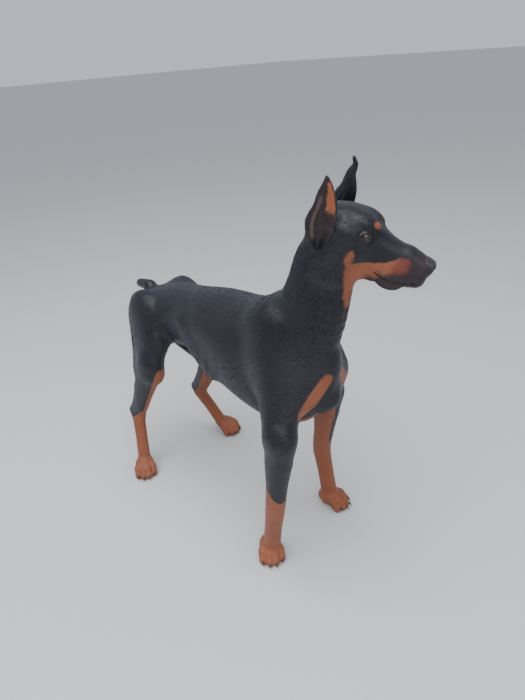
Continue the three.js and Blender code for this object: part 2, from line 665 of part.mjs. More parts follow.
// An ear as a thick leaf: rows up its middle line, a bowed row across, both faces split alike
function earGeometry({ side, line, half: halves, cup, faces }) {
  const rows = 11;
  const across = 8;
  const spine = new THREE.CatmullRomCurve3(line.map(([x, y, z]) => new THREE.Vector3(x, side * y, z)));
  const knot = (values) => through(values.map((v, i) => [i / (values.length - 1), v]));
  const [width, depth, thick] = [halves, cup, earThickness].map(knot);
  const outward = new THREE.Vector3(faces[0], side * faces[1], faces[2]).normalize();
  const points = [];
  for (let r = 0; r <= rows; r += 1) {
    const s = r / rows;
    const centre = spine.getPoint(s);
    const forward = new THREE.Vector3().crossVectors(outward, spine.getTangent(s)).normalize().multiplyScalar(-side);
    for (const face of [-1, 1]) {
      for (let k = 0; k <= across; k += 1) {
        const t = (2 * k) / across - 1;
        const edge = 1 - 0.45 * t ** 4;
        points.push(centre.clone()
          .addScaledVector(forward, t * width(s))
          .addScaledVector(outward, depth(s) * t * t + (face * thick(s) * edge) / 2));
      }
    }
  }
  const ring = across + 1;
  const at = (r, face, k) => (2 * r + face) * ring + k;
  const index = [];
  const quad = (a, b, c, d) => index.push(a, b, c, a, c, d);
  for (let r = 0; r < rows; r += 1) {
    for (let k = 0; k < across; k += 1) {
      quad(at(r, 1, k), at(r, 1, k + 1), at(r + 1, 1, k + 1), at(r + 1, 1, k));
      index.push(at(r, 0, k), at(r + 1, 0, k + 1), at(r, 0, k + 1), at(r, 0, k), at(r + 1, 0, k), at(r + 1, 0, k + 1));
    }
    quad(at(r, 0, 0), at(r, 1, 0), at(r + 1, 1, 0), at(r + 1, 0, 0));
    quad(at(r, 1, across), at(r, 0, across), at(r + 1, 0, across), at(r + 1, 1, across));
  }
  for (let k = 0; k < across; k += 1) {
    quad(at(0, 0, k), at(0, 0, k + 1), at(0, 1, k + 1), at(0, 1, k));
    quad(at(rows, 1, k), at(rows, 1, k + 1), at(rows, 0, k + 1), at(rows, 0, k));
  }
  if (side < 0) index.reverse();
  const geometry = new THREE.BufferGeometry().setFromPoints(points);
  geometry.setIndex(index);
  return geometry;
}

function earSolid(name) {
  const root = swollen(plainHead, gap + 0.1);
  return largest(solidOf(earGeometry(ears[name])).subtract(root));
}

const eyeSolid = (side) => ball(eyeball.radius, eyeMatrix(side));

function geometryOf(solid) {
  const mesh = solid.getMesh();
  const geometry = new THREE.BufferGeometry();
  geometry.setAttribute('position', new THREE.BufferAttribute(new Float32Array(mesh.vertProperties), 3));
  geometry.setIndex(new THREE.BufferAttribute(new Uint32Array(mesh.triVerts), 1));
  geometry.computeVertexNormals();
  return geometry;
}

function finish(colour, roughness) {
  return new THREE.MeshStandardMaterial({ color: colour, roughness, metalness: 0 });
}

function node(name, solid, material) {
  const mesh = new THREE.Mesh(geometryOf(solid), material);
  mesh.name = name;
  return mesh;
}

function placed(matrix, meshes) {
  const group = new THREE.Group();
  group.applyMatrix4(matrix);
  group.add(...meshes);
  return group;
}

const black = finish(coat.black, 0.55);
const rust = finish(coat.rust, 0.6);
const leather = finish(coat.leather, 0.5);
const iris = finish(coat.eye, 0.08);
const horn = finish(coat.claw, 0.4);

const dog = new THREE.Group();
dog.add(node('torso', torsoSolid(), black));
dog.add(node('neck', neckSolid(), black));
dog.add(node('tail', tailSolid(), black));
for (const name of Object.keys(legs)) {
  dog.add(node(`leg_${name}`, legSolid(name), black));
  const claws = toes.map((_, i) => node(`claw_${name}_${i + 1}`, solidOf(clawGeometry(i)), horn));
  dog.add(placed(pawMatrices[name], [node(`paw_${name}`, pawSolid(name), rust), ...claws]));
}
dog.add(placed(headMatrix, [
  node('head', headSolid(), black),
  node('nose', noseSolid(), leather),
  node('eye_right', eyeSolid(-1), iris),
  node('eye_left', eyeSolid(1), iris),
  ...Object.keys(ears).map((name) => node(name, earSolid(name), black)),
]));

// The floor's origin is under the middle of the dog's own box
const stance = new THREE.Box3().setFromObject(dog, true);
dog.position.set(-(stance.min.x + stance.max.x) / 2, -(stance.min.y + stance.max.y) / 2, -stance.min.z);
const model = new THREE.Group();
model.add(dog);

export default model;
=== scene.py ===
# Doberman pinscher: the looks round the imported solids, in metres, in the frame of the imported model.
# The flesh is one skin netted from a distance made of the same named bones and muscles as the solids.
import time
from functools import reduce

import bpy
import numpy as np
from mathutils import Matrix, Vector


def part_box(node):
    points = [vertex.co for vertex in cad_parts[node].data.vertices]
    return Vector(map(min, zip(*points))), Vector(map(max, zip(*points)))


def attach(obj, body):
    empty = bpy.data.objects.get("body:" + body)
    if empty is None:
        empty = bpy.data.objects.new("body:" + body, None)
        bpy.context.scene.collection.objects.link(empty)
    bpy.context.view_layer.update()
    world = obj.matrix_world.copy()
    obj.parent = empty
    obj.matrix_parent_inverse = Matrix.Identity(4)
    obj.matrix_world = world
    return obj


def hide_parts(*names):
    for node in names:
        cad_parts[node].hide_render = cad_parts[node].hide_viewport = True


started = time.time()
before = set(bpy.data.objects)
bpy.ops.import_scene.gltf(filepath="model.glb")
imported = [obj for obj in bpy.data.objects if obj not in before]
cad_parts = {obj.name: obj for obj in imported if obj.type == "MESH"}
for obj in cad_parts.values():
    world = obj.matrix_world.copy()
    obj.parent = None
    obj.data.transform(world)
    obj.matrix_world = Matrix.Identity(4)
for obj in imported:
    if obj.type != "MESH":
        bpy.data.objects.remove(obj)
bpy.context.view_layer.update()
mm = 0.001


def report(text):
    # one line for each stage, with the seconds so far
    print(f"{time.time() - started:6.1f} s  {text}")


# Sizes are in millimetres and degrees in the dog's frame: +X to the chest, +Y to its left, +Z up.
# The camera looks along azimuth and down, turned by roll; its focal length and long side are in pixels.
view = {"at": (1034.8, -772.0, 1162.9), "azimuth": 138.5912, "down": 28.5, "roll": 4.5,
        "focal": 545.0, "long": 700.0}
head = {"at": (340, 10, 920), "yaw": 27.0, "pitch": 24.0}
eyeball = {"at": (115, 34.5, -20), "radius": 11.5, "out": 70.0, "up": 11.0, "slant": 10.0}


def unitOf(v):
    # vectors scaled to length 1
    return v / np.maximum(np.linalg.norm(v, axis=-1, keepdims=True), 1e-9)


def turnAbout(axis, degrees):
    # rotation matrix about one axis
    return np.array(Matrix.Rotation(np.radians(degrees), 3, axis))


def pose(at, yaw, pitch=0.0):
    # a frame turned by pitch, then yaw, with its place
    return turnAbout("Z", yaw) @ turnAbout("Y", pitch), np.array(at, float)


headTurn, headAt = pose(head["at"], head["yaw"], head["pitch"])


def headToDog(p):
    # from the head's frame to the dog's: turned, then moved
    return np.asarray(p, float) @ headTurn.T + headAt


def dogToHead(p):
    # from the dog's frame to the head's: moved back, then turned back
    return (np.asarray(p, float) - headAt) @ headTurn


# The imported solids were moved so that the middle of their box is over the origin: the right eye tells how far
eyeLow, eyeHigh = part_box("eye_right")
eyeMiddle = (np.array(eyeLow) + np.array(eyeHigh)) / 2 / mm
shift = eyeMiddle - headToDog((eyeball["at"][0], -eyeball["at"][1], eyeball["at"][2]))
shift[2] = 0.0


def least(*values):
    # the smallest of several distances, point by point
    return reduce(np.minimum, values)


def most(*values):
    # the largest of several distances, point by point
    return reduce(np.maximum, values)


def smooth(t):
    # a smooth step from 0 to 1
    t = np.clip(t, 0, 1)
    return t * t * (3 - 2 * t)


def melt(a, b, k):
    # smooth minimum of two distances over a width k
    h = np.maximum(k - np.abs(a - b), 0) / k
    return np.minimum(a, b) - h * h * k / 4


def carve(a, b, k):
    # a without b, with the edge rounded over k
    return -melt(-a, b, k)


def through(xs, ys):
    # a cubic line through knots, its slope at each knot that of the chord between its neighbours
    xs = np.asarray(xs, float)
    ys = np.asarray(ys, float)
    slopes = np.empty_like(ys)
    slopes[1:-1] = (ys[2:] - ys[:-2]) / (xs[2:] - xs[:-2])
    slopes[0] = (ys[1] - ys[0]) / (xs[1] - xs[0])
    slopes[-1] = (ys[-1] - ys[-2]) / (xs[-1] - xs[-2])

    def line(x):
        p = np.clip(x, xs[0], xs[-1])
        i = np.clip(np.searchsorted(xs, p, side="left") - 1, 0, len(xs) - 2)
        w = xs[i + 1] - xs[i]
        t = (p - xs[i]) / w
        t2, t3 = t * t, t * t * t
        return ((2 * t3 - 3 * t2 + 1) * ys[i] + (t3 - 2 * t2 + t) * w * slopes[i]
                + (3 * t2 - 2 * t3) * ys[i + 1] + (t3 - t2) * w * slopes[i + 1])
    return line


def barrel(stations, square, cap):
    # distance to a barrel along X: superellipse sections whose top, underside, half width and level follow
    # lines; past its ends the way along X counts cap times, from the axis to the section's own edge
    xs = [s[0] for s in stations]
    top, under, half, level = (through(xs, [s[i] for s in stations]) for i in (1, 2, 3, 4))

    def field(p):
        x, y, z = p.T
        along = np.clip(x, xs[0], xs[-1])
        middle = level(along)
        dz = z - middle
        high = np.where(dz > 0, top(along) - middle, middle - under(along))
        across = np.hypot(y, dz)
        flatter = np.maximum(across, 1e-3)
        rising = np.where(across < 1e-3, 1.0, np.abs(dz) / flatter)
        sideways = (np.abs(y) / flatter / half(along)) ** square
        radius = (sideways + (rising / np.maximum(high, 1e-3)) ** square) ** (-1 / square)
        inner = np.minimum(half(along), high)  # near the axis the section counts as round
        radius = inner + (radius - inner) * smooth(across / (0.7 * radius))
        return np.hypot(across, (x - along) * cap) - radius
    return field


def limb(start, end, startRadius, endRadius, flat=1.0):
    # distance to a tapered rod with round ends, flat times as thick from side to side
    a = np.array(start, float)
    axis = np.array(end, float) - a

    def field(p):
        q = p - a
        t = np.clip(q @ axis / (axis @ axis), 0, 1)
        o = q - t[:, None] * axis
        o[:, 1] /= flat
        scaled = np.linalg.norm(o, axis=1)
        radius = startRadius + (endRadius - startRadius) * t
        return (scaled - radius) * (flat + (1 - flat) * (1 - np.abs(o[:, 1]) / np.maximum(scaled, 1e-6)))
    return field


def egg(at, radii, turn=0.0):
    # distance to an ellipsoid turned about Z
    rotation, centre = pose(at, turn)
    r = np.array(radii, float)

    def field(p):
        q = (p - centre) @ rotation / r
        k0 = np.linalg.norm(q, axis=1)
        k1 = np.linalg.norm(q / r, axis=1)
        return np.where(k1 < 1e-9, -r.min(), k0 * (k0 - 1) / np.maximum(k1, 1e-9))
    return field


def catmull(points, steps):
    # centripetal Catmull-Rom through the points, sampled evenly in its parameter
    p = np.array(points, float)
    p = np.vstack([2 * p[0] - p[1], p, 2 * p[-1] - p[-2]])
    t = np.linspace(0, len(points) - 1, steps + 1)
    i = np.minimum(t.astype(int), len(points) - 2)
    w = (t - i)[:, None]
    p0, p1, p2, p3 = p[i], p[i + 1], p[i + 2], p[i + 3]
    d0, d1, d2 = (
        np.maximum(np.linalg.norm(b - a, axis=1, keepdims=True) ** 0.5, 1e-4)
        for a, b in ((p0, p1), (p1, p2), (p2, p3)))
    m1 = ((p1 - p0) / d0 - (p2 - p0) / (d0 + d1) + (p2 - p1) / d1) * d1
    m2 = ((p2 - p1) / d1 - (p3 - p1) / (d1 + d2) + (p3 - p2) / d2) * d1
    return p1 + m1 * w + (-3 * p1 + 3 * p2 - 2 * m1 - m2) * w ** 2 + (2 * p1 - 2 * p2 + m1 + m2) * w ** 3


def nearestOn(points, p):
    # for each p: its share of the way along a polyline, its distance and its offset
    best = np.full(len(p), np.inf)
    at = np.zeros(len(p))
    off = np.zeros_like(p)
    for i, (a, b) in enumerate(zip(points[:-1], points[1:])):
        axis = b - a
        t = np.clip((p - a) @ axis / (axis @ axis), 0, 1)
        o = p - a - t[:, None] * axis
        far = np.linalg.norm(o, axis=1)
        nearer = far < best
        best = np.where(nearer, far, best)
        at = np.where(nearer, (i + t) / (len(points) - 1), at)
        off = np.where(nearer[:, None], o, off)
    return at, best, off


def tube(stations, steps):
    # distance to a tube along a bent spine: stations are (place, deep, wide, yaw)
    shares = np.linspace(0, 1, len(stations))
    deep, wide, yaw = (through(shares, [s[i] for s in stations]) for i in (1, 2, 3))
    points = catmull([s[0] for s in stations], steps)

    def field(p):
        at, far, off = nearestOn(points, p)
        far = np.maximum(far, 1e-6)
        turn = np.radians(yaw(at))
        across = (-np.sin(turn) * off[:, 0] + np.cos(turn) * off[:, 1]) / far
        within = np.sqrt(np.maximum(1 - across * across, 0))
        return far - 1 / np.hypot(across / wide(at), within / deep(at))
    return field


def bothSides(field):
    # the same form on the left and the right
    return lambda p: field(np.column_stack([p[:, 0], np.abs(p[:, 1]), p[:, 2]]))


def posed(field, rotation, at):
    # a form moved to a place and turned there
    return lambda p: field((p - at) @ rotation)


def between(a, b, t):
    # the place a share t of the way from a to b
    return tuple(u + (v - u) * t for u, v in zip(a, b))


def shifted(a, b):
    # place a moved by b
    return tuple(u + v for u, v in zip(a, b))


# The body: stations are (x, top, underside, half width, widest level)
trunk = barrel([
    (-314, 578, 474, 44, 530), (-268, 594, 450, 66, 528), (-190, 615, 448, 80, 536), (-90, 631, 452, 79, 550),
    (10, 648, 428, 96, 546), (110, 656, 396, 107, 532), (200, 674, 374, 101, 512), (256, 690, 374, 82, 498),
    (312, 668, 398, 66, 505), (352, 604, 440, 48, 530)], 2.25, 1.7)
neck = tube([
    ((276, 0, 606), 104, 70, 0), ((320, 1, 672), 82, 60, 4), ((343, 4, 735), 70, 53, 12),
    ((356, 11, 796), 62, 49, 22), ((366, 20, 846), 46, 42, 27)], 14)
skull = barrel([
    (18, -9, -68, 34, -30), (40, 5, -90, 44, -32), (72, 16, -100, 48, -35), (104, 17, -103, 43, -38),
    (130, 4, -102, 35, -42), (163, -9, -95, 29, -46), (205, -14, -86, 25, -50),
    (238, -19, -78, 21, -50)], 2.5, 1.6)

mouth = {"x": (160, 186, 216, 252), "z": (-79, -84, -78, -57), "width": 0.8, "depth": 3.0, "end": 244}
mouthLevel = through(mouth["x"], mouth["z"])

# Forms of the head: (field, width over which it melts in)
headParts = [
    (bothSides(egg((78, 34, -48), (40, 19, 40))), 22),  # cheek
    (bothSides(egg((112, 26, 2), (20, 12, 9), -12)), 18),  # brow
    (bothSides(egg((92, 41, -26), (34, 11, 10), -14)), 14),  # cheekbone
    (bothSides(limb((158, 19, -62), (230, 14, -58), 16, 15, 0.66)), 12),  # upper lip
    (bothSides(egg((190, 16, -86), (28, 8, 18), -6)), 10),  # hanging lip
    (limb((70, 0, -90), (226, 0, -74), 22, 11, 0.9), 14),  # lower jaw
    (limb((84, 0, -98), (156, 0, -92), 18, 15), 14),  # throat
    (limb((205, 0, -32), (240, 0, -38), 19, 16), 12),  # bridge behind the nose
]

# Ears by side: the leaf's middle line in the head's frame, its half width and how deeply it is cupped
ears = {
    -1: {"half": (7, 20, 26, 21, 14.5, 8, 1.5), "cup": (10, 14, 13, 9, 5, 2, 0.5), "line": [
        (44, 51, -74), (35, 55, -48), (29, 57, -20), (26, 55, 5), (19, 56, 30), (15, 57, 44), (10, 58, 55)]},
    1: {"half": (7, 20, 24, 18, 9, 4.5, 1.6), "cup": (10, 14, 13, 9, 4, 2, 0.5), "line": [
        (44, 50, -70), (38, 54, -44), (37, 55, -14), (39, 52, 16), (34, 53, 48), (35, 55, 66), (28, 55, 77)]},
}
earFacing = unitOf(np.array((0.3, 0.94, 0.16)))
earThickness = (7, 6.2, 5.4, 4.8, 4.6, 4.6, 5.0)


def earPlace(p, side):
    # where a point lies on an ear: its share up it and across it (-1 at the front edge), its height off the
    # leaf's middle, the leaf's half width and cup there, and how far off the leaf's own section it is
    ear = ears[side]
    outward = earFacing * (1, side, 1)
    spine = catmull([(x, side * y, z) for x, y, z in ear["line"]], 40)
    shares = np.linspace(0, 1, len(ear["line"]))
    width, cup = through(shares, ear["half"]), through(shares, ear["cup"])
    flattened, flatSpine = (v - (v @ outward)[:, None] * outward for v in (p, spine))
    at, _, _ = nearestOn(flatSpine, flattened)
    step = np.linspace(0, 1, len(spine))
    centre, way = (
        np.column_stack([np.interp(at, step, line[:, i]) for i in range(3)])
        for line in (spine, np.gradient(spine, axis=0)))
    forward = unitOf(np.cross(outward, way) * -side)
    off = p - centre
    across, out = np.sum(off * forward, axis=1), off @ outward
    rest = np.linalg.norm(off - across[:, None] * forward - out[:, None] * outward, axis=1)
    return at, across / width(at), out, width(at), cup(at), rest


def earBox(side, low, high):
    # corners of a box round one ear in the head's frame, between two values of X
    return (low, -100 if side < 0 else 20, -110), (high, -20 if side < 0 else 100, 100)


def earField(side):
    # distance to a leaf bent into a cup, with two low ridges inside it, thinner towards its edges
    thickness = through(np.linspace(0, 1, len(earThickness)), earThickness)

    def field(p):
        at, t, out, width, cup, rest = earPlace(p, side)
        inside = np.clip(t, -1, 1)
        ridges = 2.4 * np.exp(-((t - 0.5) / 0.13) ** 2) + 1.8 * np.exp(-((t - 0.05) / 0.16) ** 2)
        level = cup * inside * inside + ridges * np.sin(np.clip(at / 0.6, 0, 1) * np.pi)
        slope = np.sqrt(1 + (2 * cup * inside / width) ** 2)
        over = np.maximum(np.abs(t) - 1, 0) * width
        thick = thickness(at) * (1 - 0.4 * inside ** 4) / 2
        return np.sqrt(((out - level) / slope) ** 2 + over ** 2 + rest ** 2) - thick
    return field


earFields = {side: earField(side) for side in ears}


def headField(p):
    # the skull with its forms melted in, less the slit between the lips, which is cut only near the surface
    d = skull(p)
    for part, k in headParts:
        d = melt(d, part(p), k)
    off = np.abs(p[:, 2] - mouthLevel(p[:, 0])) - mouth["width"]
    return carve(d, most(off, mouth["x"][0] - p[:, 0], p[:, 0] - mouth["end"], -d - mouth["depth"]), 1.4)


# One leg is its side (-1 right, 1 left), its elbow or knee, its wrist or hock, its paw and the paw's turn
legs = {
    "front_right": {"fore": True, "side": -1, "turn": -36,
                    "upper": (328, -119, 410), "lower": (302, -124, 198), "paw": (259, -114, 0)},
    "front_left": {"fore": True, "side": 1, "turn": 14,
                   "upper": (276, 106, 406), "lower": (232, 127, 192), "paw": (258, 133, 0)},
    "hind_right": {"fore": False, "side": -1, "turn": -28,
                   "upper": (-198, -110, 406), "lower": (-326, -120, 176), "paw": (-276, -160, 0)},
    "hind_left": {"fore": False, "side": 1, "turn": -2,
                  "upper": (-160, 110, 398), "lower": (-304, 110, 164), "paw": (-246, 160, 0)},
}
paws = {"offset": (-25, -8.5, 8.5, 25), "reach": (31, 42, 42, 31), "radius": 12, "palm": (36, 29, 21)}
pawPoses = {name: pose(leg["paw"], leg["turn"]) for name, leg in legs.items()}


def toeField(offset, ahead):
    # one arched toe: a knuckle rod and a tip rod
    r = paws["radius"]
    knuckle = limb((4, offset * 0.72, 32), (ahead - 13, offset * 0.96, 27), r, r - 0.5, 0.82)
    tip = limb((ahead - 13, offset * 0.96, 26), (ahead, offset, 10.6), r - 0.5, r, 0.82)
    return lambda p: melt(knuckle(p), tip(p), 4)


palm = egg((-2, 0, 27), paws["palm"])
heelPad = egg((-12, 0, 8), (18, 19, 10))
toes = list(zip(paws["offset"], paws["reach"]))
toeFields = [toeField(offset, ahead) for offset, ahead in toes]
cuffFields = [limb((ahead + 3, offset, 17), (ahead + 14, offset, 14), 5, 3.2, 0.8) for offset, ahead in toes]


def pawField(p):
    # palm and pad with the toes melted in, and a cuff round each claw; the floor cuts it flat later
    d = melt(palm(p), heelPad(p), 6)
    for toe in toeFields:
        d = melt(d, toe(p), 1.8)
    for cuff in cuffFields:
        d = melt(d, cuff(p) + 0.6, 3)
    return d


def foreleg(leg, name):
    # shoulder blade, upper arm, triceps, elbow, forearm down to the pastern, wrist bone, paw and carpal pad
    side, elbow, wrist, paw = leg["side"], leg["upper"], leg["lower"], leg["paw"]
    shoulderTop, shoulderPoint = (252, side * 56, 632), (308, side * 66, 516)
    forearm = [
        (shifted(elbow, (4, 0, 10)), 38, 32, 0), (between(elbow, wrist, 0.3), 35, 29, 0),
        (between(elbow, wrist, 0.65), 28, 24, 0), (wrist, 25, 23, 0),
        (between(wrist, paw, 0.4), 22.5, 21, 0), (between(wrist, paw, 0.72), 22.5, 22, 0)]
    return [
        (limb(shoulderTop, shoulderPoint, 52, 37, 0.6), 44),
        (limb(shoulderPoint, elbow, 41, 32, 0.8), 40),
        (limb((262, side * 74, 556), shifted(elbow, (-12, 0, 8)), 42, 23, 0.62), 44),
        (limb(shifted(elbow, (-12, 0, 12)), shifted(elbow, (2, 0, -60)), 14, 17, 0.9), 16),
        (tube(forearm, 14), 16),
        (egg(shifted(wrist, (-19, 0, -18)), (9, 10, 13)), 8),
        (posed(pawField, *pawPoses[name]), 12),
        (limb(shifted(wrist, (-13, side * -5, -30)), shifted(wrist, (-15, side * -6, -44)), 4.5, 4, 1), 4),
    ]


def hindleg(leg, name):
    # thigh, its back muscle, knee, shank down to the pastern, hamstring, heel and paw
    side, knee, hock, paw = leg["side"], leg["upper"], leg["lower"], leg["paw"]
    hip = (-236, side * 64, 520)
    heel = shifted(hock, (-24, 0, 10))
    shank = [
        (shifted(knee, (-18, 0, -30)), 42, 31, 0), (shifted(between(knee, hock, 0.4), (-6, 0, 0)), 37, 27, 0),
        (between(knee, hock, 0.75), 26, 21, 0), (hock, 25, 18, 0),
        (between(hock, paw, 0.38), 21.5, 17, 0), (between(hock, paw, 0.72), 21, 18, 0)]
    return [
        (limb(hip, knee, 72, 38, 0.62), 38),
        (limb((-280, side * 60, 522), shifted(knee, (-58, 0, -34)), 49, 36, 0.66), 34),
        (limb(shifted(knee, (-4, 0, 0)), shifted(knee, (0, 0, -30)), 37, 31, 0.8), 24),
        (tube(shank, 16), 20),
        (limb(shifted(between(knee, hock, 0.45), (-28, 0, 6)), heel, 14, 11, 0.8), 16),
        (limb(heel, hock, 14, 20, 0.85), 12),
        (posed(pawField, *pawPoses[name]), 12),
    ]


# Small forms that only the looks carry: (field, width over which they melt in)
forms = [
    (bothSides(limb((-60, 74, 560), (60, 92, 470), 22, 16, 0.5)), 30),
    (bothSides(limb((-250, 70, 560), (-190, 86, 470), 40, 30, 0.5)), 30),
]
# Valleys: rods pressed a little way into the surface, (start, end, radius, depth)
valleys = [
    ((-300, 84, 560), (-262, 100, 440), 16, 2.6),
    ((-150, 92, 520), (-120, 80, 470), 18, 2.5),
    ((120, 118, 520), (96, 112, 440), 9, 0.8),
    ((84, 118, 530), (60, 110, 446), 9, 0.8),
    ((50, 116, 540), (26, 106, 454), 9, 0.7),
]
sheath = limb((-212, 0, 432), (-122, 0, 421), 15, 18, 0.9)
chest = bothSides(egg((334, 34, 505), (34, 28, 54), 10))
breast = egg((356, 0, 545), (32, 30, 52))
dock = limb((-320, 0, 582), (-372, 0, 578), 17, 13)


def legBox(leg):
    # corners of the box that one leg's forms stay in
    back, front, near, far, top = (180, 400, 30, 210, 690) if leg["fore"] else (-400, -110, 10, 215, 620)
    right, left = sorted((leg["side"] * near, leg["side"] * far))
    return (back, right, -20), (front, left, top)


legFields = {name: (foreleg if leg["fore"] else hindleg)(leg, name) for name, leg in legs.items()}
legBoxes = {name: legBox(leg) for name, leg in legs.items()}


def within(p, low, high, pad):
    # which points lie in a box grown by pad
    return np.all((p > np.array(low) - pad) & (p < np.array(high) + pad), axis=1)


def eyeTurn(side):
    # the frame of an eye inside the head: X looks out, Y along the lids, Z up them
    turned, at = pose(eyeball["at"], side * eyeball["out"], -eyeball["up"])
    return turned @ turnAbout("X", -side * eyeball["slant"]), at * (1, side, 1)


lids = {"width": 22.6, "up": 6.4, "down": 5.6, "brow": 13.5, "deep": 10.9, "crease": 11.6}


def lidEdge(t, side):
    # the almond round the eye: height of its upper and lower edge at t from -1 to 1 along Y
    inner = -side * t
    upper = lids["up"] * (1 - np.abs(t) ** 2.3) * (1 + 0.10 * inner)
    lower = -lids["down"] * (1 - np.abs(t) ** 1.9) * (1 - 0.12 * inner)
    return upper, lower


def eyeHoles(p, d):
    # brow and lids swell over each eyeball, then an almond pocket is carved down to the ball
    for side in (-1, 1):
        turned, at = eyeTurn(side)
        q = (p - at) @ turned
        far = np.linalg.norm(q, axis=1)
        d = melt(d, far - lids["brow"] + np.where(q[:, 0] > -3, 0, 4), 5)
        crease = np.abs(np.hypot(q[:, 1] * 0.78, q[:, 2] - 0.6) - lids["crease"]) - 0.5  # round both lids
        d = carve(d, most(crease, 4 - q[:, 0], -d - 1.1), 1.6)
        half = lids["width"] / 2
        upper, lower = lidEdge(np.clip(q[:, 1] / half, -1, 1), side)
        almond = most((q[:, 2] - upper) * 0.9, (lower - q[:, 2]) * 0.9, np.abs(q[:, 1]) - half)
        d = carve(d, most(almond, lids["deep"] - far, 1.5 - q[:, 0]), 1.0)
    return d


def pressed(d, rod, depth, k):
    # a valley of the given depth along a rod lying on the surface
    return carve(d, np.maximum(rod, -d - depth), k)


skinValleys = [(bothSides(limb(a, b, r, r)), depth) for a, b, r, depth in valleys]
cheekFold = bothSides(limb((84, 46, -60), (60, 44, -92), 7, 7))


def body(p):
    # the whole skin as one distance in the dog's frame, parts far from a point left out
    d = trunk(p)
    for field, k in forms:
        d = melt(d, field(p), k)
    near = p[:, 2] > 420
    d[near] = melt(d[near], neck(p[near]), 46)
    d = melt(d, chest(p), 28)
    d = melt(d, breast(p), 26)
    d = melt(d, dock(p), 16)
    for name, parts in legFields.items():
        near = within(p, *legBoxes[name], 60)
        q, e = p[near], d[near]
        for field, k in parts:
            e = melt(e, field(q), k)
        d[near] = e
    for rod, depth in skinValleys:
        d = pressed(d, rod(p), depth, 9)
    d = melt(d, sheath(p), 12)
    near = p[:, 2] > 700
    if near.any():
        q = dogToHead(p[near])
        e = melt(d[near], pressed(headField(q), cheekFold(q), 1.8, 7), 26)
        e = eyeHoles(q, e)
        for side in ears:
            close = within(q, *earBox(side, -20, 80), 50)
            e[close] = melt(e[close], earFields[side](q[close]), 9)
        pocket = melt(egg((237, 0, -29), (20.8, 16.8, 12.6))(q), egg((243, 0, -38), (10.6, 8.6, 9.4))(q), 8)
        e = carve(e, most(pocket, 231 - q[:, 0] + np.abs(q[:, 1]) * 0.4), 1.2)
        d[near] = e
    return np.maximum(d, -p[:, 2])


# The grid is stretched so that its cells are small round the head: full below one height, small above another
grid = {"cell": 5.5, "levels": 3, "full": 680.0, "shrunk": 800.0, "small": 0.38, "middle": (345.0, 10.0),
        "box": ((-430, -230, -26), (970, 560, 1440))}


def gridScale(z):
    # share of a full cell at height z of the stretched grid
    return 1 + (grid["small"] - 1) * smooth((z - grid["full"]) / (grid["shrunk"] - grid["full"]))


gridRise = np.linspace(0, 1600, 6401)
cellShares = gridScale(gridRise)
gridHeight = np.concatenate([[0], np.cumsum((cellShares[1:] + cellShares[:-1]) / 2 * np.diff(gridRise))])


def unstretch(q):
    # from the stretched grid to the dog's frame
    z = np.where(q[:, 2] < 0, q[:, 2], np.interp(q[:, 2], gridRise, gridHeight))
    middle = np.array(grid["middle"])
    return np.column_stack([middle + (q[:, :2] - middle) * gridScale(q[:, 2])[:, None], z])


def inParts(field, p, size=120000):
    # a distance over many points, a share at a time
    return np.concatenate([field(p[i:i + size]) for i in range(0, len(p), size)])


cubeCorners = np.array([(i & 1, (i >> 1) & 1, (i >> 2) & 1) for i in range(8)])
cubeEdges = [(a, b) for a in range(8) for b in range(a + 1, 8) if bin(a ^ b).count("1") == 1]


def cellKey(c):
    # one whole number for each cell of a grid up to 2 ** 14 cells wide
    return (c[..., 0] << 28) + (c[..., 1] << 14) + c[..., 2]


def netted(field, low, high, cell, levels, bend=lambda q: q):
    # surface net of a distance: cells near the surface are halved level by level, then joined into quads
    low = np.array(low, float)
    count = np.ceil((np.array(high) - low) / (cell * 2 ** levels)).astype(int)
    cells = np.stack(np.meshgrid(*[np.arange(n) for n in count], indexing="ij"), -1).reshape(-1, 3)
    for level in range(levels, -1, -1):
        size = cell * 2 ** level
        middle = bend(low + (cells + 0.5) * size)
        reach = size * 0.87 * (2.1 if level else 1.9)  # half a cell's diagonal, with room to spare
        cells = cells[np.abs(inParts(field, middle)) < reach]
        if level:
            cells = (cells[:, None] * 2 + cubeCorners[None]).reshape(-1, 3)
    corners = (cells[:, None] + cubeCorners[None]).reshape(-1, 3)
    _, first, where = np.unique(cellKey(corners), return_index=True, return_inverse=True)
    values = inParts(field, bend(low + corners[first] * cell))[where.reshape(-1)].reshape(-1, 8)
    inside = (values < 0).sum(axis=1)
    mixed = (inside > 0) & (inside < 8)
    cells, values = cells[mixed], values[mixed]
    total = np.zeros((len(cells), 3))
    hits = np.zeros(len(cells))
    for a, b in cubeEdges:
        crossing = (values[:, a] < 0) != (values[:, b] < 0)
        t = values[:, a] / np.where(crossing, values[:, a] - values[:, b], 1)
        place = cubeCorners[a] + t[:, None] * (cubeCorners[b] - cubeCorners[a])
        total += place * crossing[:, None]
        hits += crossing
    points = bend(low + (cells + total / hits[:, None]) * cell)
    order = np.argsort(cellKey(cells))
    sortedKeys = cellKey(cells)[order]
    quads = []
    axes = np.eye(3, dtype=int)
    for axis in range(3):
        here, there = values[:, 0] < 0, values[:, 1 << axis] < 0
        rows = np.where(here != there)[0]
        u, v = axes[(axis + 1) % 3], axes[(axis + 2) % 3]
        ring = [cells[rows] - m * u - n * v for m, n in ((1, 1), (0, 1), (0, 0), (1, 0))]
        found = [np.minimum(np.searchsorted(sortedKeys, cellKey(c)), len(order) - 1) for c in ring]
        good = np.all([sortedKeys[f] == cellKey(c) for f, c in zip(found, ring)], axis=0)
        quad = np.column_stack([order[f] for f in found])[good]
        flip = ~here[rows][good]
        quad[flip] = quad[flip][:, ::-1]
        quads.append(quad)
    return points, np.vstack(quads)


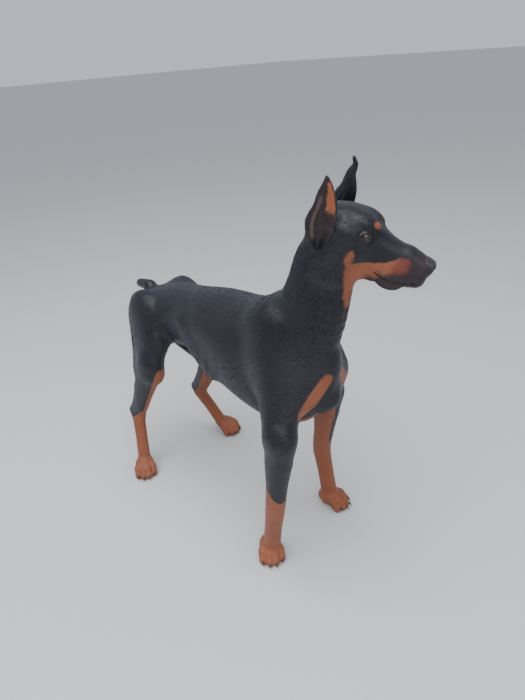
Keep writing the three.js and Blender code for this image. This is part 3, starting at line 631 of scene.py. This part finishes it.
def slopeOf(field, p, e=0.35):
    # gradient of a distance by four samples at the corners of a small tetrahedron
    ways = np.array([(1, 1, 1), (1, -1, -1), (-1, 1, -1), (-1, -1, 1)], float)
    return sum(inParts(field, p + e * w)[:, None] * w for w in ways) / (4 * e)


def settled(field, p, rounds, limit):
    # points moved along the slope onto the zero surface, a little way at most
    for _ in range(rounds):
        d = inParts(field, p)
        g = slopeOf(field, p)
        move = -d[:, None] * g / np.maximum((g * g).sum(axis=1), 0.25)[:, None]
        far = np.linalg.norm(move, axis=1, keepdims=True)
        p = p + move * np.minimum(1, limit / np.maximum(far, 1e-9))
    return p


def relaxed(p, quads, share):
    # each point moved a share of the way to the middle of its neighbours
    a = quads.reshape(-1)
    b = np.roll(quads, -1, axis=1).reshape(-1)
    both, others = np.concatenate([a, b]), np.concatenate([b, a])
    total = np.column_stack([np.bincount(both, p[others, i], len(p)) for i in range(3)])
    weight = np.bincount(both, minlength=len(p))
    return p + share * (total / np.maximum(weight, 1)[:, None] - p)


def triangles(p, quads):
    # quads split along their shorter diagonal
    a, b, c, d = quads.T
    short = ((p[a] - p[c]) ** 2).sum(axis=1) < ((p[b] - p[d]) ** 2).sum(axis=1)
    first = np.where(short[:, None], np.column_stack([a, b, c]), np.column_stack([a, b, d]))
    second = np.where(short[:, None], np.column_stack([a, c, d]), np.column_stack([b, c, d]))
    return np.vstack([first, second])


def toFrame(p):
    # dog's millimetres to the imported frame's metres
    return (p + shift) * mm


def meshOf(name, p, faces, smooth=True):
    # a mesh object from whole arrays of places and triangles or quads
    mesh = bpy.data.meshes.new(name)
    sides = faces.shape[1]
    mesh.vertices.add(len(p))
    mesh.vertices.foreach_set("co", np.ascontiguousarray(p, dtype=np.float32).reshape(-1))
    mesh.loops.add(faces.size)
    mesh.loops.foreach_set("vertex_index", np.ascontiguousarray(faces, dtype=np.int32).reshape(-1))
    mesh.polygons.add(len(faces))
    mesh.polygons.foreach_set("loop_start", np.arange(0, faces.size, sides, dtype=np.int32))
    mesh.update(calc_edges=True)
    mesh.polygons.foreach_set("use_smooth", np.full(len(faces), smooth))
    made = bpy.data.objects.new(name, mesh)
    bpy.context.collection.objects.link(made)
    return made


skinPoints, skinQuads = netted(body, *grid["box"], grid["cell"], grid["levels"], unstretch)
report(f"net {len(skinPoints)} points {len(skinQuads)} quads")
skinPoints = settled(body, skinPoints, 1, 1.2)
skinPoints = relaxed(skinPoints, skinQuads, 0.5)
skinPoints = settled(body, skinPoints, 2, 1.2)
report("skin settled")


class Wire:
    # a shader socket that takes part in plain arithmetic
    def __init__(self, shader, socket):
        self.shader, self.socket = shader, socket

    def maths(self, kind, other):
        # one Math node on this socket and another value
        return self.shader.add("ShaderNodeMath", {"operation": kind}, {0: self, 1: other})

    def __add__(self, other):
        return self.maths("ADD", other)

    def __sub__(self, other):
        return self.maths("SUBTRACT", other)

    def __rsub__(self, other):
        return (self * -1).maths("ADD", other)

    def __mul__(self, other):
        return self.maths("MULTIPLY", other)

    __radd__, __rmul__ = __add__, __mul__

    def between(self, low, high):
        # smooth rise from 0 to 1 between two values
        return self.shader.add("ShaderNodeMapRange", {"interpolation_type": "SMOOTHSTEP"},
                               {"Value": self, "From Min": low, "From Max": high})


class Shader:
    # a material's nodes: add() makes any node, and colours and vectors have their own short ways
    def __init__(self, name):
        self.material = bpy.data.materials.new(name)
        self.material.use_nodes = True
        self.tree = self.material.node_tree
        self.surface = self.tree.nodes["Principled BSDF"]
        self.place = self.add("ShaderNodeTexCoord", out="Object")

    def put(self, socket, value):
        # a link, a colour with full alpha, or a plain value in one input
        if isinstance(value, Wire):
            self.tree.links.new(value.socket, socket)
        else:
            socket.default_value = (*value, 1) if socket.type == "RGBA" else value

    def add(self, kind, settings=None, inputs=None, out=None):
        # any node: its settings first, then its inputs, then one of its outputs
        node = self.tree.nodes.new(kind)
        for key, value in (settings or {}).items():
            setattr(node, key, value)
        shown = [socket for socket in node.inputs if socket.enabled]
        for key, value in (inputs or {}).items():
            self.put(shown[key] if isinstance(key, int) else node.inputs[key], value)
        results = [socket for socket in node.outputs if socket.enabled]
        return Wire(self, node.outputs[out] if out else results[0])

    def mix(self, share, a, b):
        # a colour between a and b
        return self.add("ShaderNodeMix", {"data_type": "RGBA"}, {0: share, 1: a, 2: b})

    def stretched(self, scale):
        # object coordinates scaled per axis
        return self.add("ShaderNodeVectorMath", {"operation": "MULTIPLY"}, {0: self.place, 1: scale})

    def noise(self, scale, detail, where=None):
        # smooth noise from 0 to 1
        inputs = {"Vector": where or self.place, "Scale": scale, "Detail": detail}
        return self.add("ShaderNodeTexNoise", None, inputs, "Fac")

    def value(self, name):
        # a number kept on the mesh
        return self.add("ShaderNodeAttribute", {"attribute_name": name}, None, "Fac")

    def bump(self, height, strength, distance):
        # small relief from a height
        inputs = {"Height": height, "Strength": strength, "Distance": distance}
        self.set(Normal=self.add("ShaderNodeBump", None, inputs))

    def set(self, **values):
        # the surface's own inputs, an underscore for each space in their names
        for key, value in values.items():
            self.put(self.surface.inputs[key.replace("_", " ")], value)


# The near-black of the slit is painted shade along the gap between the lips; round the eyes it is their own
# dark rims.
# The pale colour for the ridge inside each ear is a painted highlight along its crest.
coatLook = {
    "black": (0.0050, 0.0054, 0.0086), "blackSoft": (0.0084, 0.0090, 0.0158),
    "rust": (0.335, 0.108, 0.046), "rustDark": (0.19, 0.054, 0.022), "maroon": (0.15, 0.034, 0.022),
    "lip": (0.020, 0.011, 0.013), "slit": (0.006, 0.005, 0.006), "ear": (0.022, 0.012, 0.013),
    "ridgeHighlight": (0.13, 0.085, 0.08), "edge": 2.2, "rough": 0.42, "sheen": 0.09, "sheenTint": (0.66, 0.72, 1.0)}


def coatShader(name, furBump):
    # black and rust coat: the markings are distances in mm kept on the mesh, their edges broken by noise
    s = Shader(name)
    look = coatLook
    fray = s.noise(260, 3) * 6 - 3 + (s.noise(60, 2) * 5 - 2.5)
    rust = (s.value("rust") + fray).between(-look["edge"], look["edge"])
    lip = (s.value("lip") + fray * 0.7).between(-10, 8)
    maroon = (s.value("maroon") + fray).between(-9, 9)
    inner = (s.value("inner") + fray * 0.4).between(-3, 3)
    patchy = s.noise(14, 4)
    fine = s.noise(900, 2)
    black = s.mix((patchy - 0.35) * 1.6, look["black"], look["blackSoft"])
    warm = s.mix((fine * 0.5 + patchy * 0.7 - 0.25).between(0, 0.8), look["rustDark"], look["rust"])
    warm = s.mix(maroon, warm, look["maroon"])
    colour = s.mix(rust, black, warm)
    colour = s.mix(lip, colour, look["lip"])
    # near-black along the gap between the lips, painted shade; round the eyes, their own dark rims
    colour = s.mix(s.value("slit").between(-1.5, 1.5), colour, look["slit"])
    colour = s.mix(inner * (1 - rust), colour, look["ear"])
    # a pale band along the crest of the ridge inside the ear: painted highlight
    colour = s.mix((s.value("ridgeHighlight") + fray * 0.3).between(-1.5, 2.5) * 0.7, colour, look["ridgeHighlight"])
    s.set(Base_Color=colour, Roughness=fine * 0.16 + look["rough"] - 0.08 + rust * 0.12,
          Specular_IOR_Level=0.42, Sheen_Weight=look["sheen"], Sheen_Roughness=0.42,
          Sheen_Tint=look["sheenTint"])
    if furBump:
        down = s.value("down").between(0.3, 0.7)
        along = s.noise(1.0, 2, s.stretched((90.0, 620.0, 520.0)))
        drop = s.noise(1.0, 2, s.stretched((620.0, 620.0, 90.0)))
        s.bump(along * (1 - down) + drop * down, 0.32, 0.0016)
    return s.material


def leatherShader():
    # nose leather: pebbles from cells, a damp sheen
    s = Shader("noseLeather")
    inputs = {"Vector": s.place, "Scale": 620.0}
    cells = s.add("ShaderNodeTexVoronoi", {"feature": "SMOOTH_F1"}, inputs, "Distance")
    soft = s.noise(160, 3)
    s.set(Base_Color=s.mix(soft, (0.010, 0.010, 0.013), (0.028, 0.027, 0.033)), Roughness=soft * 0.2 + 0.30)
    s.bump(cells * -1 + soft * 0.3, 0.55, 0.0006)
    return s.material


def eyeShader():
    # pupil, iris and white by the ring attribute, the angle from the middle of the pupil in degrees
    s = Shader("eye")
    ring = s.value("ring")
    rays = s.noise(1.0, 3, s.add("ShaderNodeCombineXYZ", None, {"X": s.value("spoke") * 5, "Y": ring * 0.05}))
    iris = s.mix(rays, (0.022, 0.007, 0.003), (0.050, 0.016, 0.007))
    iris = s.mix(ring.between(30, 35), iris, (0.008, 0.004, 0.003))
    iris = s.mix(ring.between(16, 13), iris, (0.002, 0.002, 0.002))
    white = s.mix(s.noise(500, 3), (0.05, 0.035, 0.032), (0.12, 0.09, 0.085))
    s.set(Base_Color=s.mix(ring.between(36, 40), iris, white), Roughness=0.05, IOR=1.38,
          Coat_Weight=1.0, Coat_Roughness=0.02)
    return s.material


def plainShader(name, colour, rough, coat):
    # one colour, a quarter darker to a quarter lighter by noise, under a clear coat
    s = Shader(name)
    fine = s.noise(300, 3)
    shade = s.mix(fine, tuple(c * 0.75 for c in colour), tuple(c * 1.25 for c in colour))
    s.set(Base_Color=shade, Roughness=fine * 0.1 + rough, Coat_Weight=coat, Coat_Roughness=0.1)
    return s.material


def dress(piece, material, slot, *nodes):
    # a piece's material, its body, its slot, which is not used, and the nodes that it takes the place of
    piece.data.materials.append(material)
    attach(piece, "root")
    if nodes:
        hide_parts(*nodes)


def store(piece, **values):
    # float values kept on the points of a piece
    for key, value in values.items():
        layer = piece.data.attributes.new(key, "FLOAT", "POINT")
        layer.data.foreach_set("value", np.ascontiguousarray(value, dtype=np.float32))


def swept(rings, looped=False):
    # triangles between rings of points (rings, sides, 3): the last ring meets the first, or a fan closes each
    # end; all are turned round if the closed volume about the first point comes out negative
    n, m = rings.shape[:2]
    i, j = np.meshgrid(np.arange(n if looped else n - 1), np.arange(m), indexing="ij")
    k, after = (j + 1) % m, (i + 1) % n
    quads = np.stack([i * m + j, i * m + k, after * m + k, after * m + j], -1).reshape(-1, 4)
    faces = np.vstack([quads[:, [0, 1, 2]], quads[:, [0, 2, 3]]])
    points = rings.reshape(-1, 3)
    if not looped:
        j = np.arange(m)
        k, last = (j + 1) % m, (n - 1) * m
        start, end = np.full(m, n * m), np.full(m, n * m + 1)
        points = np.vstack([points, rings[0].mean(axis=0), rings[-1].mean(axis=0)])
        faces = np.vstack([faces, np.column_stack([start, k, j]), np.column_stack([end, last + j, last + k])])
    a, b, c = (points[faces[:, i]] - points[0] for i in range(3))
    return points, faces if np.sum(a * np.cross(b, c)) > 0 else faces[:, ::-1]


# Nose: its own finer net, with comma-shaped nostrils, the groove between them and wings
noseForm = {"cell": 0.9, "levels": 3, "box": ((211, -23, -57), (265, 23, -9)), "step": 0.3}


def noseField(p):
    # two eggs melted, flattened in front, less the nostrils, their slits and the middle groove
    y = np.abs(p[:, 1])
    q = np.column_stack([p[:, 0], y, p[:, 2]])
    d = melt(egg((236.4, 0, -29), (21.8, 17.6, 13.3))(p), egg((243, 0, -38), (11, 9, 10))(p), 8)
    d = melt(d, egg((249, 9.5, -26.5), (7.5, 5.5, 6))(q), 4)
    d = carve(d, limb((262, 6.2, -30.5), (246, 8.0, -31.5), 3.3, 2.4)(q), 1.4)
    d = carve(d, limb((256, 8.6, -33.0), (248, 17.5, -35.5), 1.7, 0.9)(q), 1.2)
    return carve(d, most(y - 0.55, p[:, 2] + 33, -d - 1.3, 244 - p[:, 0]), 0.9)


nosePoints, noseQuads = netted(noseField, *noseForm["box"], noseForm["cell"], noseForm["levels"])
nosePoints = relaxed(settled(noseField, nosePoints, 1, noseForm["step"]), noseQuads, 0.5)
nosePoints = settled(noseField, nosePoints, 1, noseForm["step"])
noseSkin = meshOf("noseLeather", toFrame(headToDog(nosePoints)), triangles(nosePoints, noseQuads))
dress(noseSkin, leatherShader(), "nose_leather", "nose")

# Eyes: a ball with a raised cornea and rims along the lids
eyes = {"ball": 11.3, "cornea": 1.15, "corneaAngle": 36.0, "rings": 56, "spokes": 56,
        "rim": 0.85, "rimAt": 11.85}
eyeMaterial = eyeShader()
rimMaterial = plainShader("lidRim", (0.010, 0.009, 0.011), 0.22, 0.6)
for side, name in ((-1, "right"), (1, "left")):
    turned, at = eyeTurn(side)
    theta = np.linspace(0.004, np.pi - 0.004, eyes["rings"])[:, None]
    phi = np.linspace(0, 2 * np.pi, eyes["spokes"], endpoint=False)[None]
    lift = np.clip(1 - (theta / np.radians(eyes["corneaAngle"])) ** 2, 0, None)
    radius = eyes["ball"] + eyes["cornea"] * lift
    unit = np.broadcast_arrays(np.cos(theta), np.sin(theta) * np.cos(phi), np.sin(theta) * np.sin(phi))
    points, faces = swept(radius[..., None] * np.stack(unit, -1))
    ball = meshOf("eyeball_" + name, toFrame(headToDog(points @ turned.T + at)), faces)
    angle = np.degrees(np.arctan2(np.hypot(points[:, 1], points[:, 2]), points[:, 0]))
    store(ball, ring=angle, spoke=np.abs(np.arctan2(points[:, 2], points[:, 1])))
    dress(ball, eyeMaterial, "eye", "eye_" + name)
    # rim: a round band along the almond, at a fixed distance from the ball's middle
    t = np.linspace(-1, 1, 41)
    upper, lower = lidEdge(t, side)
    half = lids["width"] / 2
    loop = np.vstack([np.column_stack([t * half, upper]), np.column_stack([t * half, lower])[-2:0:-1]])
    far = np.minimum(np.hypot(loop[:, 0], loop[:, 1]), eyes["rimAt"] - 0.9)
    line = np.column_stack([np.sqrt(eyes["rimAt"] ** 2 - far ** 2), loop])
    ahead = unitOf(np.roll(line, -1, axis=0) - np.roll(line, 1, axis=0))
    out = unitOf(line)
    across = np.cross(ahead, out)
    turns = np.linspace(0, 2 * np.pi, 8, endpoint=False)[None, :, None]
    band = line[:, None] + eyes["rim"] * (np.cos(turns) * out[:, None] + np.sin(turns) * across[:, None])
    points, faces = swept(band, looped=True)
    rim = meshOf("lidRim_" + name, toFrame(headToDog(points @ turned.T + at)), faces)
    dress(rim, rimMaterial, "nose_leather")
report("nose and eyes")

# Claws: bent horns, four on each paw, joined per paw
claws = {"radius": 4.4, "sides": 14, "rings": 10, "flat": 0.72, "floor": 0.6}
clawMaterial = plainShader("clawHorn", (0.018, 0.015, 0.014), 0.3, 0.3)


def clawForm(offset, ahead):
    # one horn in the paw's frame: oval rings that shrink along a quadratic curve
    root = np.array((ahead + 1, offset, 17.0))
    knots = np.array([root, root + (12, 0, 0.5), root + (18, 0, -10)])
    t = np.linspace(0, 1, claws["rings"])[:, None]
    centre = (1 - t) ** 2 * knots[0] + 2 * t * (1 - t) * knots[1] + t ** 2 * knots[2]
    tangent = unitOf((1 - t) * (knots[1] - knots[0]) + t * (knots[2] - knots[1]))
    up = (tangent[:, ::-1] * (-1, 0, 1))[:, None]
    radius = (claws["radius"] * (1 - t * 0.97) ** 0.6)[:, None]
    a = np.linspace(0, 2 * np.pi, claws["sides"], endpoint=False)[None, :, None]
    return swept(centre[:, None] + radius * (np.sin(a) * up + np.cos(a) * np.array((0, claws["flat"], 0))))


horns = [clawForm(offset, ahead) for offset, ahead in toes]
hornFaces = np.vstack([faces + i * len(points) for i, (points, faces) in enumerate(horns)])
for name, (rotation, at) in pawPoses.items():
    points = np.vstack([points for points, _ in horns]) @ rotation.T + at
    points[:, 2] = np.maximum(points[:, 2], claws["floor"])
    piece = meshOf("claws_" + name, toFrame(points), hornFaces)
    dress(piece, clawMaterial, "claw", *[f"claw_{name}_{i}" for i in range(1, 5)])
report("claws")


# Markings: each is a signed distance, positive inside, worked out for any points of the skin or the coat
def headMarks(q):
    # rust of the head: brow spots, cheek spots and the muzzle's sides, between lines in x and z
    m = np.column_stack([q[:, 0], np.abs(q[:, 1]), q[:, 2]])
    brow = -egg((126, 27, 6), (8.5, 9, 5.5))(m)
    cheek = -egg((107, 46, -66), (8, 20, 17))(m)
    top = np.interp(
        q[:, 0], (96, 117, 150, 166, 180, 192, 204, 222), (-66, -76, -60, -53, -42, -31, -28, -34))
    back = np.interp(q[:, 2], (-125, -108, -88, -70), (124, 118, 108, 104))
    return most(brow, cheek, least(top - q[:, 2], 226 - q[:, 0], q[:, 0] - back, q[:, 2] + 112))


def throatMark(p):
    # rust of the throat: a wedge under the head that narrows downwards
    turn = np.radians(30)
    x, y = p[:, 0] - 400, p[:, 1] - 8
    ahead, across = x * np.cos(turn) + y * np.sin(turn), np.abs(y * np.cos(turn) - x * np.sin(turn))
    wide = np.interp(p[:, 2], (700, 712, 735, 775, 797), (0, 6, 13, 14, 16))
    return least(wide - across, p[:, 2] - 708, ahead + 6, 796 - p[:, 2])


def legMark(p, leg):
    # rust of a leg, by how far each point is in front of the bones and on their inner side
    bones = np.array((leg["paw"], leg["lower"], leg["upper"]), float)
    x, y = (np.interp(p[:, 2], bones[:, 2], bones[:, i]) for i in (0, 1))
    fore, inside = p[:, 0] - x, (y - p[:, 1]) * leg["side"]
    if leg["fore"]:
        # below a line above the wrist that dips in front; up the inner side to the elbow
        cuff = 262 - 1.1 * np.clip(fore, -30, 30) + 0.2 * inside - p[:, 2]
        return most(cuff, least(inside - 3 - 0.2 * fore, 372 + 0.6 * inside - p[:, 2]))
    # below the hock; up the inner and front side of the second thigh
    above = p[:, 2] - leg["lower"][2]
    cuff = 4 + 1.3 * np.clip(fore, -40, 26) - above
    return most(cuff, least(fore * 0.8 + inside * 0.75 - 13 - 0.06 * above, 400 - p[:, 2]))


def skinMarks(p):
    # rust, dark lips, maroon muzzle, inner ears, a pale painted highlight along a ridge inside them, and the
    # mouth's slit darkened as painted shade with the eyes' dark rims, in the dog's frame
    far = -30.0
    q = dogToHead(p)
    onHead = p[:, 2] > 690
    h = q[onHead]
    rust, lip, maroon, inner, slit, ridgeHighlight = np.full((6, len(p)), far)
    rust[onHead] = most(headMarks(h), throatMark(p[onHead]))
    m = np.column_stack([p[:, 0], np.abs(p[:, 1]), p[:, 2]])
    chestPatch = -limb((352, 74, 470), (392, 26, 544), 17, 15)(m)
    underDock = -egg((-338, 0, 552), (20, 20, 12))(p)
    rust = most(rust, chestPatch, underDock)
    for name, leg in legs.items():
        near = within(p, *legBoxes[name], 30)
        rust[near] = most(rust[near], legMark(p[near], leg))
    level = mouthLevel(h[:, 0])
    under = np.interp(h[:, 0], (150, 163, 177, 197, 219, 240), (-93, -92, -77, -64, -48, -36))
    dark = least(under - h[:, 2], h[:, 0] - 150)
    lower = least(h[:, 0] - 168, level + 6 - h[:, 2])
    lip[onHead] = most(dark, lower, h[:, 0] - 213)
    maroon[onHead] = h[:, 0] - 186
    # the slit: a band along the gap between the lips, darkened as painted shade
    edge = 1.6 - np.abs(h[:, 2] - level) + np.clip(h[:, 0] - 158, -20, 0)
    slit[onHead] = least(edge, 248 - h[:, 0])
    for side in ears:
        close = within(q, *earBox(side, -30, 90), 0) & onHead
        at, t, out, width, cup, rest = earPlace(q[close], side)
        height = out - cup * np.clip(t, -1, 1) ** 2
        onLeaf = least(height * 4 + 1, (1.02 - np.abs(t)) * width, (at - 0.12) * 90)
        inner[close] = np.where(rest > 12, far, onLeaf)
        # a pale band on the crest of the ridge inside the ear, where light would catch it: painted highlight
        crest = least(2.2 - np.abs(t - 0.55) * width * 0.5, (at - 0.14) * 60, (0.62 - at) * 60)
        strip = least((-t - 0.10) * width, (0.93 + t) * width, (at - 0.44) * 80, (0.86 - at) * 80, 8)
        facing = (height > -0.5) & (rest < 6)
        ridgeHighlight[close] = np.where(facing, crest, far)
        rust[close] = most(rust[close], np.where(facing, strip, far))
        # the rims of the eye on this side stay dark
        turned, middle = eyeTurn(side)
        e = (h - middle) @ turned
        behind = np.maximum(4 - e[:, 0], 0)
        slit[onHead] = most(slit[onHead], 10.8 - np.hypot(e[:, 1] * 0.72, e[:, 2]) - behind * 4)
    marks = {"rust": rust, "lip": lip, "maroon": maroon, "inner": inner, "slit": slit, "ridgeHighlight": ridgeHighlight}
    limits = {name: 30 if name == "maroon" else 12 for name in marks}
    return {name: np.clip(mark, -limits[name], limits[name]) for name, mark in marks.items()}


def rise(x, low, high):
    # a smooth step from 0 at low to 1 at high
    return smooth((x - low) / (high - low))


def lieOf(p):
    # the way the coat lies: back along the trunk and the head, down the legs and the neck, up the ears
    way = np.tile((-1.0, 0.0, -0.35), (len(p), 1))
    q = dogToHead(p)
    onLegs = rise(-p[:, 2], -480, -330) * rise(np.abs(p[:, 1]), 30, 70)
    onNeck = rise(p[:, 2], 560, 730) * rise(p[:, 0], 150, 290)
    onHead = rise(q[:, 0], 0, 80) * rise(p[:, 2], 730, 790)
    onEars = rise(q[:, 2], -40, -10) * rise(np.abs(q[:, 1]), 40, 48) * rise(-q[:, 0], -70, -58)
    for share, other in ((onLegs, np.array((-0.12, 0, -1))), (onNeck, np.array((-0.42, -0.1, -1))),
                         (onHead, headTurn @ (-1, 0, -0.15)), (onEars, headTurn @ (0, 0, 1))):
        way = way * (1 - share[:, None]) + other * share[:, None]
    return way


skinPoints[:, 2] = np.maximum(skinPoints[:, 2], 0)
skinFaces = triangles(skinPoints, skinQuads)
skin = meshOf("skin", toFrame(skinPoints), skinFaces)
flesh = ["torso", "neck", "tail", "head", "ear_right", "ear_left"]
flesh += [f"{part}_{name}" for part in ("leg", "paw") for name in legs]
lie = lieOf(skinPoints)
steep = -lie[:, 2] / np.maximum(np.abs(lie[:, 0]) + np.abs(lie[:, 2]), 1e-6)
store(skin, down=np.clip(steep, 0, 1), **skinMarks(skinPoints))
dress(skin, coatShader("coat", True), "coat_black", *flesh)
report("skin marked")

# Coat: thin closed blades lying along the hair, shorter on the face and feet, in pieces by region.
# Lengths and widths are in millimetres; lift and high are shares of a blade's length and width.
coat = {"seed": 11, "lift": 0.04, "sink": 0.25, "jitter": 0.13, "high": 0.2, "patch": 0.003, "regions": {
    "Head": {"long": 4.4, "wide": 0.6, "count": 28200}, "Neck": {"long": 8.0, "wide": 0.75, "count": 16450},
    "Trunk": {"long": 9.0, "wide": 0.8, "count": 47000}, "Legs": {"long": 6.5, "wide": 0.7, "count": 35250}}}


def regionOf(p):
    # 0 head, 1 neck, 2 trunk, 3 legs, with ragged borders so that no line shows
    p = p + np.sin(p[:, [1, 2, 0]] * 0.31) * 14 + np.sin(p[:, [2, 0, 1]] * 0.83) * 6
    q = dogToHead(p)
    ahead, above = q[:, 0] * 0.947 + q[:, 2] * 0.319, q[:, 0] * 0.254 + q[:, 2] * 0.967
    onHead = (p[:, 2] > 760) & (ahead > -8) & (above > -90)
    legsHere = (p[:, 2] < 380) | ((p[:, 2] < 430) & (np.abs(p[:, 1]) > 96))
    onNeck = (p[:, 2] > 640) & (p[:, 0] > 190)
    return np.where(onHead, 0, np.where(onNeck, 1, np.where(legsHere, 3, 2)))


def unwrapOf(piece):
    # the corners of each face in an unwrap of a copy of the piece
    copy = piece.copy()
    copy.data = piece.data.copy()
    bpy.context.collection.objects.link(copy)
    bpy.context.view_layer.objects.active = copy
    for other in bpy.context.selected_objects:
        other.select_set(False)
    copy.select_set(True)
    bpy.ops.object.mode_set(mode="EDIT")
    bpy.ops.mesh.select_all(action="SELECT")
    bpy.ops.uv.smart_project(angle_limit=1.15, island_margin=0.002)
    bpy.ops.object.mode_set(mode="OBJECT")
    layer = copy.data.uv_layers.active
    uv = np.empty(len(layer.data) * 2, dtype=np.float32)
    layer.data.foreach_get("uv", uv)
    bpy.data.objects.remove(copy, do_unlink=True)
    return uv.reshape(-1, 3, 2)


def blades(name, roots, normals, ways, longs, wides, uvs, values):
    # closed thin slivers of four triangles: two corners sunk under the root, one above it, and a tip along
    # the coat; each has its root's markings and, in the map OFBake, a small patch at its root's place
    long, wide = longs[:, None], wides[:, None]
    side = np.cross(normals, ways)
    low = roots - normals * coat["sink"]
    above = roots + normals * wide * coat["high"] + ways * long * 0.12
    tip = roots + ways * long + normals * long * coat["lift"]
    points = np.stack([low + side * wide / 2, low - side * wide / 2, above, tip], axis=1).reshape(-1, 3)
    points[:, 2] = np.maximum(points[:, 2], 0.3)
    faces = np.array([(0, 2, 3), (2, 1, 3), (1, 0, 3), (0, 1, 2)])
    index = np.arange(len(roots))[:, None, None] * 4 + faces
    piece = meshOf(name, toFrame(points), index.reshape(-1, 3), False)
    store(piece, **{key: np.repeat(value, 4) for key, value in values.items()})
    patch = np.array([(-1, -1), (1, -1), (0, 1), (0, 0.2)]) * coat["patch"] / 2
    perCorner = (uvs[:, None] + patch)[:, faces.reshape(-1)]
    layer = piece.data.uv_layers.new(name="OFBake")
    layer.data.foreach_set("uv", np.clip(perCorner, 0, 1).astype(np.float32).reshape(-1))
    return piece


faceUv = unwrapOf(skin)
report("unwrapped")
rng = np.random.default_rng(coat["seed"])
a, b, c = (skinPoints[skinFaces[:, i]] for i in range(3))
area = np.linalg.norm(np.cross(b - a, c - a), axis=1) / 2
middle = (a + b + c) / 3
region = regionOf(middle)
q = dogToHead(middle)
# bare are the lips' edges, the chin, the nose, the soles and the eyes
offMouth = q[:, 2] - mouthLevel(q[:, 0])
bare = (q[:, 0] > 150) & (middle[:, 2] > 700) & ((np.abs(offMouth) < 3) | (q[:, 2] < -80))
bare |= ((q[:, 0] > 228) & (q[:, 2] > -48)) | (middle[:, 2] < 5)
for side in (-1, 1):
    turned, at = eyeTurn(side)
    e = (q - at) @ turned
    bare |= np.hypot(e[:, 1] * 0.8, e[:, 2]) < 10.5
for number, (name, spec) in enumerate(coat["regions"].items()):
    total = np.cumsum(np.where((region == number) & ~bare, area, 0))
    pick = np.searchsorted(total, np.sort(rng.random(spec["count"])) * total[-1])
    u, v = rng.random((2, len(pick)))
    over = u + v > 1
    u, v = np.where(over, 1 - u, u), np.where(over, 1 - v, v)
    w = 1 - u - v
    roots = a[pick] * w[:, None] + b[pick] * u[:, None] + c[pick] * v[:, None]
    normals = unitOf(slopeOf(body, roots))
    ways = lieOf(roots) + rng.normal(0, coat["jitter"], (len(roots), 3))
    ways = unitOf(ways - normals * np.sum(ways * normals, axis=1, keepdims=True))
    spread = rng.uniform(0.75, 1.25, len(roots))
    small = np.where(roots[:, 2] < 60, 0.65, 1.0)  # on the paws
    if name == "Head":
        small = np.where(dogToHead(roots)[:, 0] > 130, 0.7, 1.0)  # on the muzzle
    longs, wides = spec["long"] * spread * small, spec["wide"] * (0.7 + 0.3 * spread) * small
    uvs = (faceUv[pick] * np.stack([w, u, v], 1)[:, :, None]).sum(axis=1)
    piece = blades("coat" + name, roots, normals, ways, longs, wides, uvs, skinMarks(roots))
    dress(piece, coatShader("coatBlades" + name, False), "coat_black")
report("coat blades")

# Stage: pale floor, soft sky and one wide soft light
studio = {"floor": (0.60, 0.60, 0.59), "floorReach": 60.0, "sky": (0.85, 0.89, 1.0), "skyPower": 0.72,
          "key": 140.0, "keySize": 3.2, "fill": 14.0, "fillSize": 1.6}
floorCorners = np.array([(-1, -1, 0), (1, -1, 0), (1, 1, 0), (-1, 1, 0)]) * studio["floorReach"]
floor = meshOf("floor", floorCorners, np.array([(0, 1, 2, 3)]), False)
floorShader = Shader("floor")
floorShader.set(Base_Color=studio["floor"], Roughness=0.8)
floor.data.materials.append(floorShader.material)
world = bpy.data.worlds.new("sky")
world.use_nodes = True
background = world.node_tree.nodes["Background"]
background.inputs["Color"].default_value = (*studio["sky"], 1)
background.inputs["Strength"].default_value = studio["skyPower"]
bpy.context.scene.world = world


def softLight(name, at, target, size, power, colour=(1, 1, 1)):
    # a square lamp, in metres and watts, that faces its target
    lamp = bpy.data.lights.new(name, "AREA")
    lamp.shape, lamp.size, lamp.energy, lamp.color = "SQUARE", size, power, colour
    made = bpy.data.objects.new(name, lamp)
    made.location = at
    made.rotation_euler = (Vector(target) - Vector(at)).to_track_quat("-Z", "Y").to_euler()
    bpy.context.collection.objects.link(made)


softLight("overhead", (0.3, -0.9, 3.2), (0, 0, 0.4), studio["keySize"], studio["key"], (0.95, 0.98, 1.0))
softLight("front", (2.6, -1.2, 1.8), (0.2, 0, 0.5), studio["fillSize"], studio["fill"])

# Camera: level and looking along +Y at first, then rolled, tipped down and turned to its azimuth
camera = bpy.data.objects.new("photoView", bpy.data.cameras.new("photoView"))
camera.data.lens = view["focal"] / view["long"] * camera.data.sensor_width
camera.data.clip_start = 0.05
cameraTurn = turnAbout("Z", view["azimuth"] - 90) @ turnAbout("X", 90 - view["down"])
cameraPlace = Matrix((cameraTurn @ turnAbout("Z", -view["roll"])).tolist()).to_4x4()
cameraPlace.translation = toFrame(np.array(view["at"])).tolist()
camera.matrix_world = cameraPlace
bpy.context.collection.objects.link(camera)
bpy.context.scene.camera = camera

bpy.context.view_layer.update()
report("done")
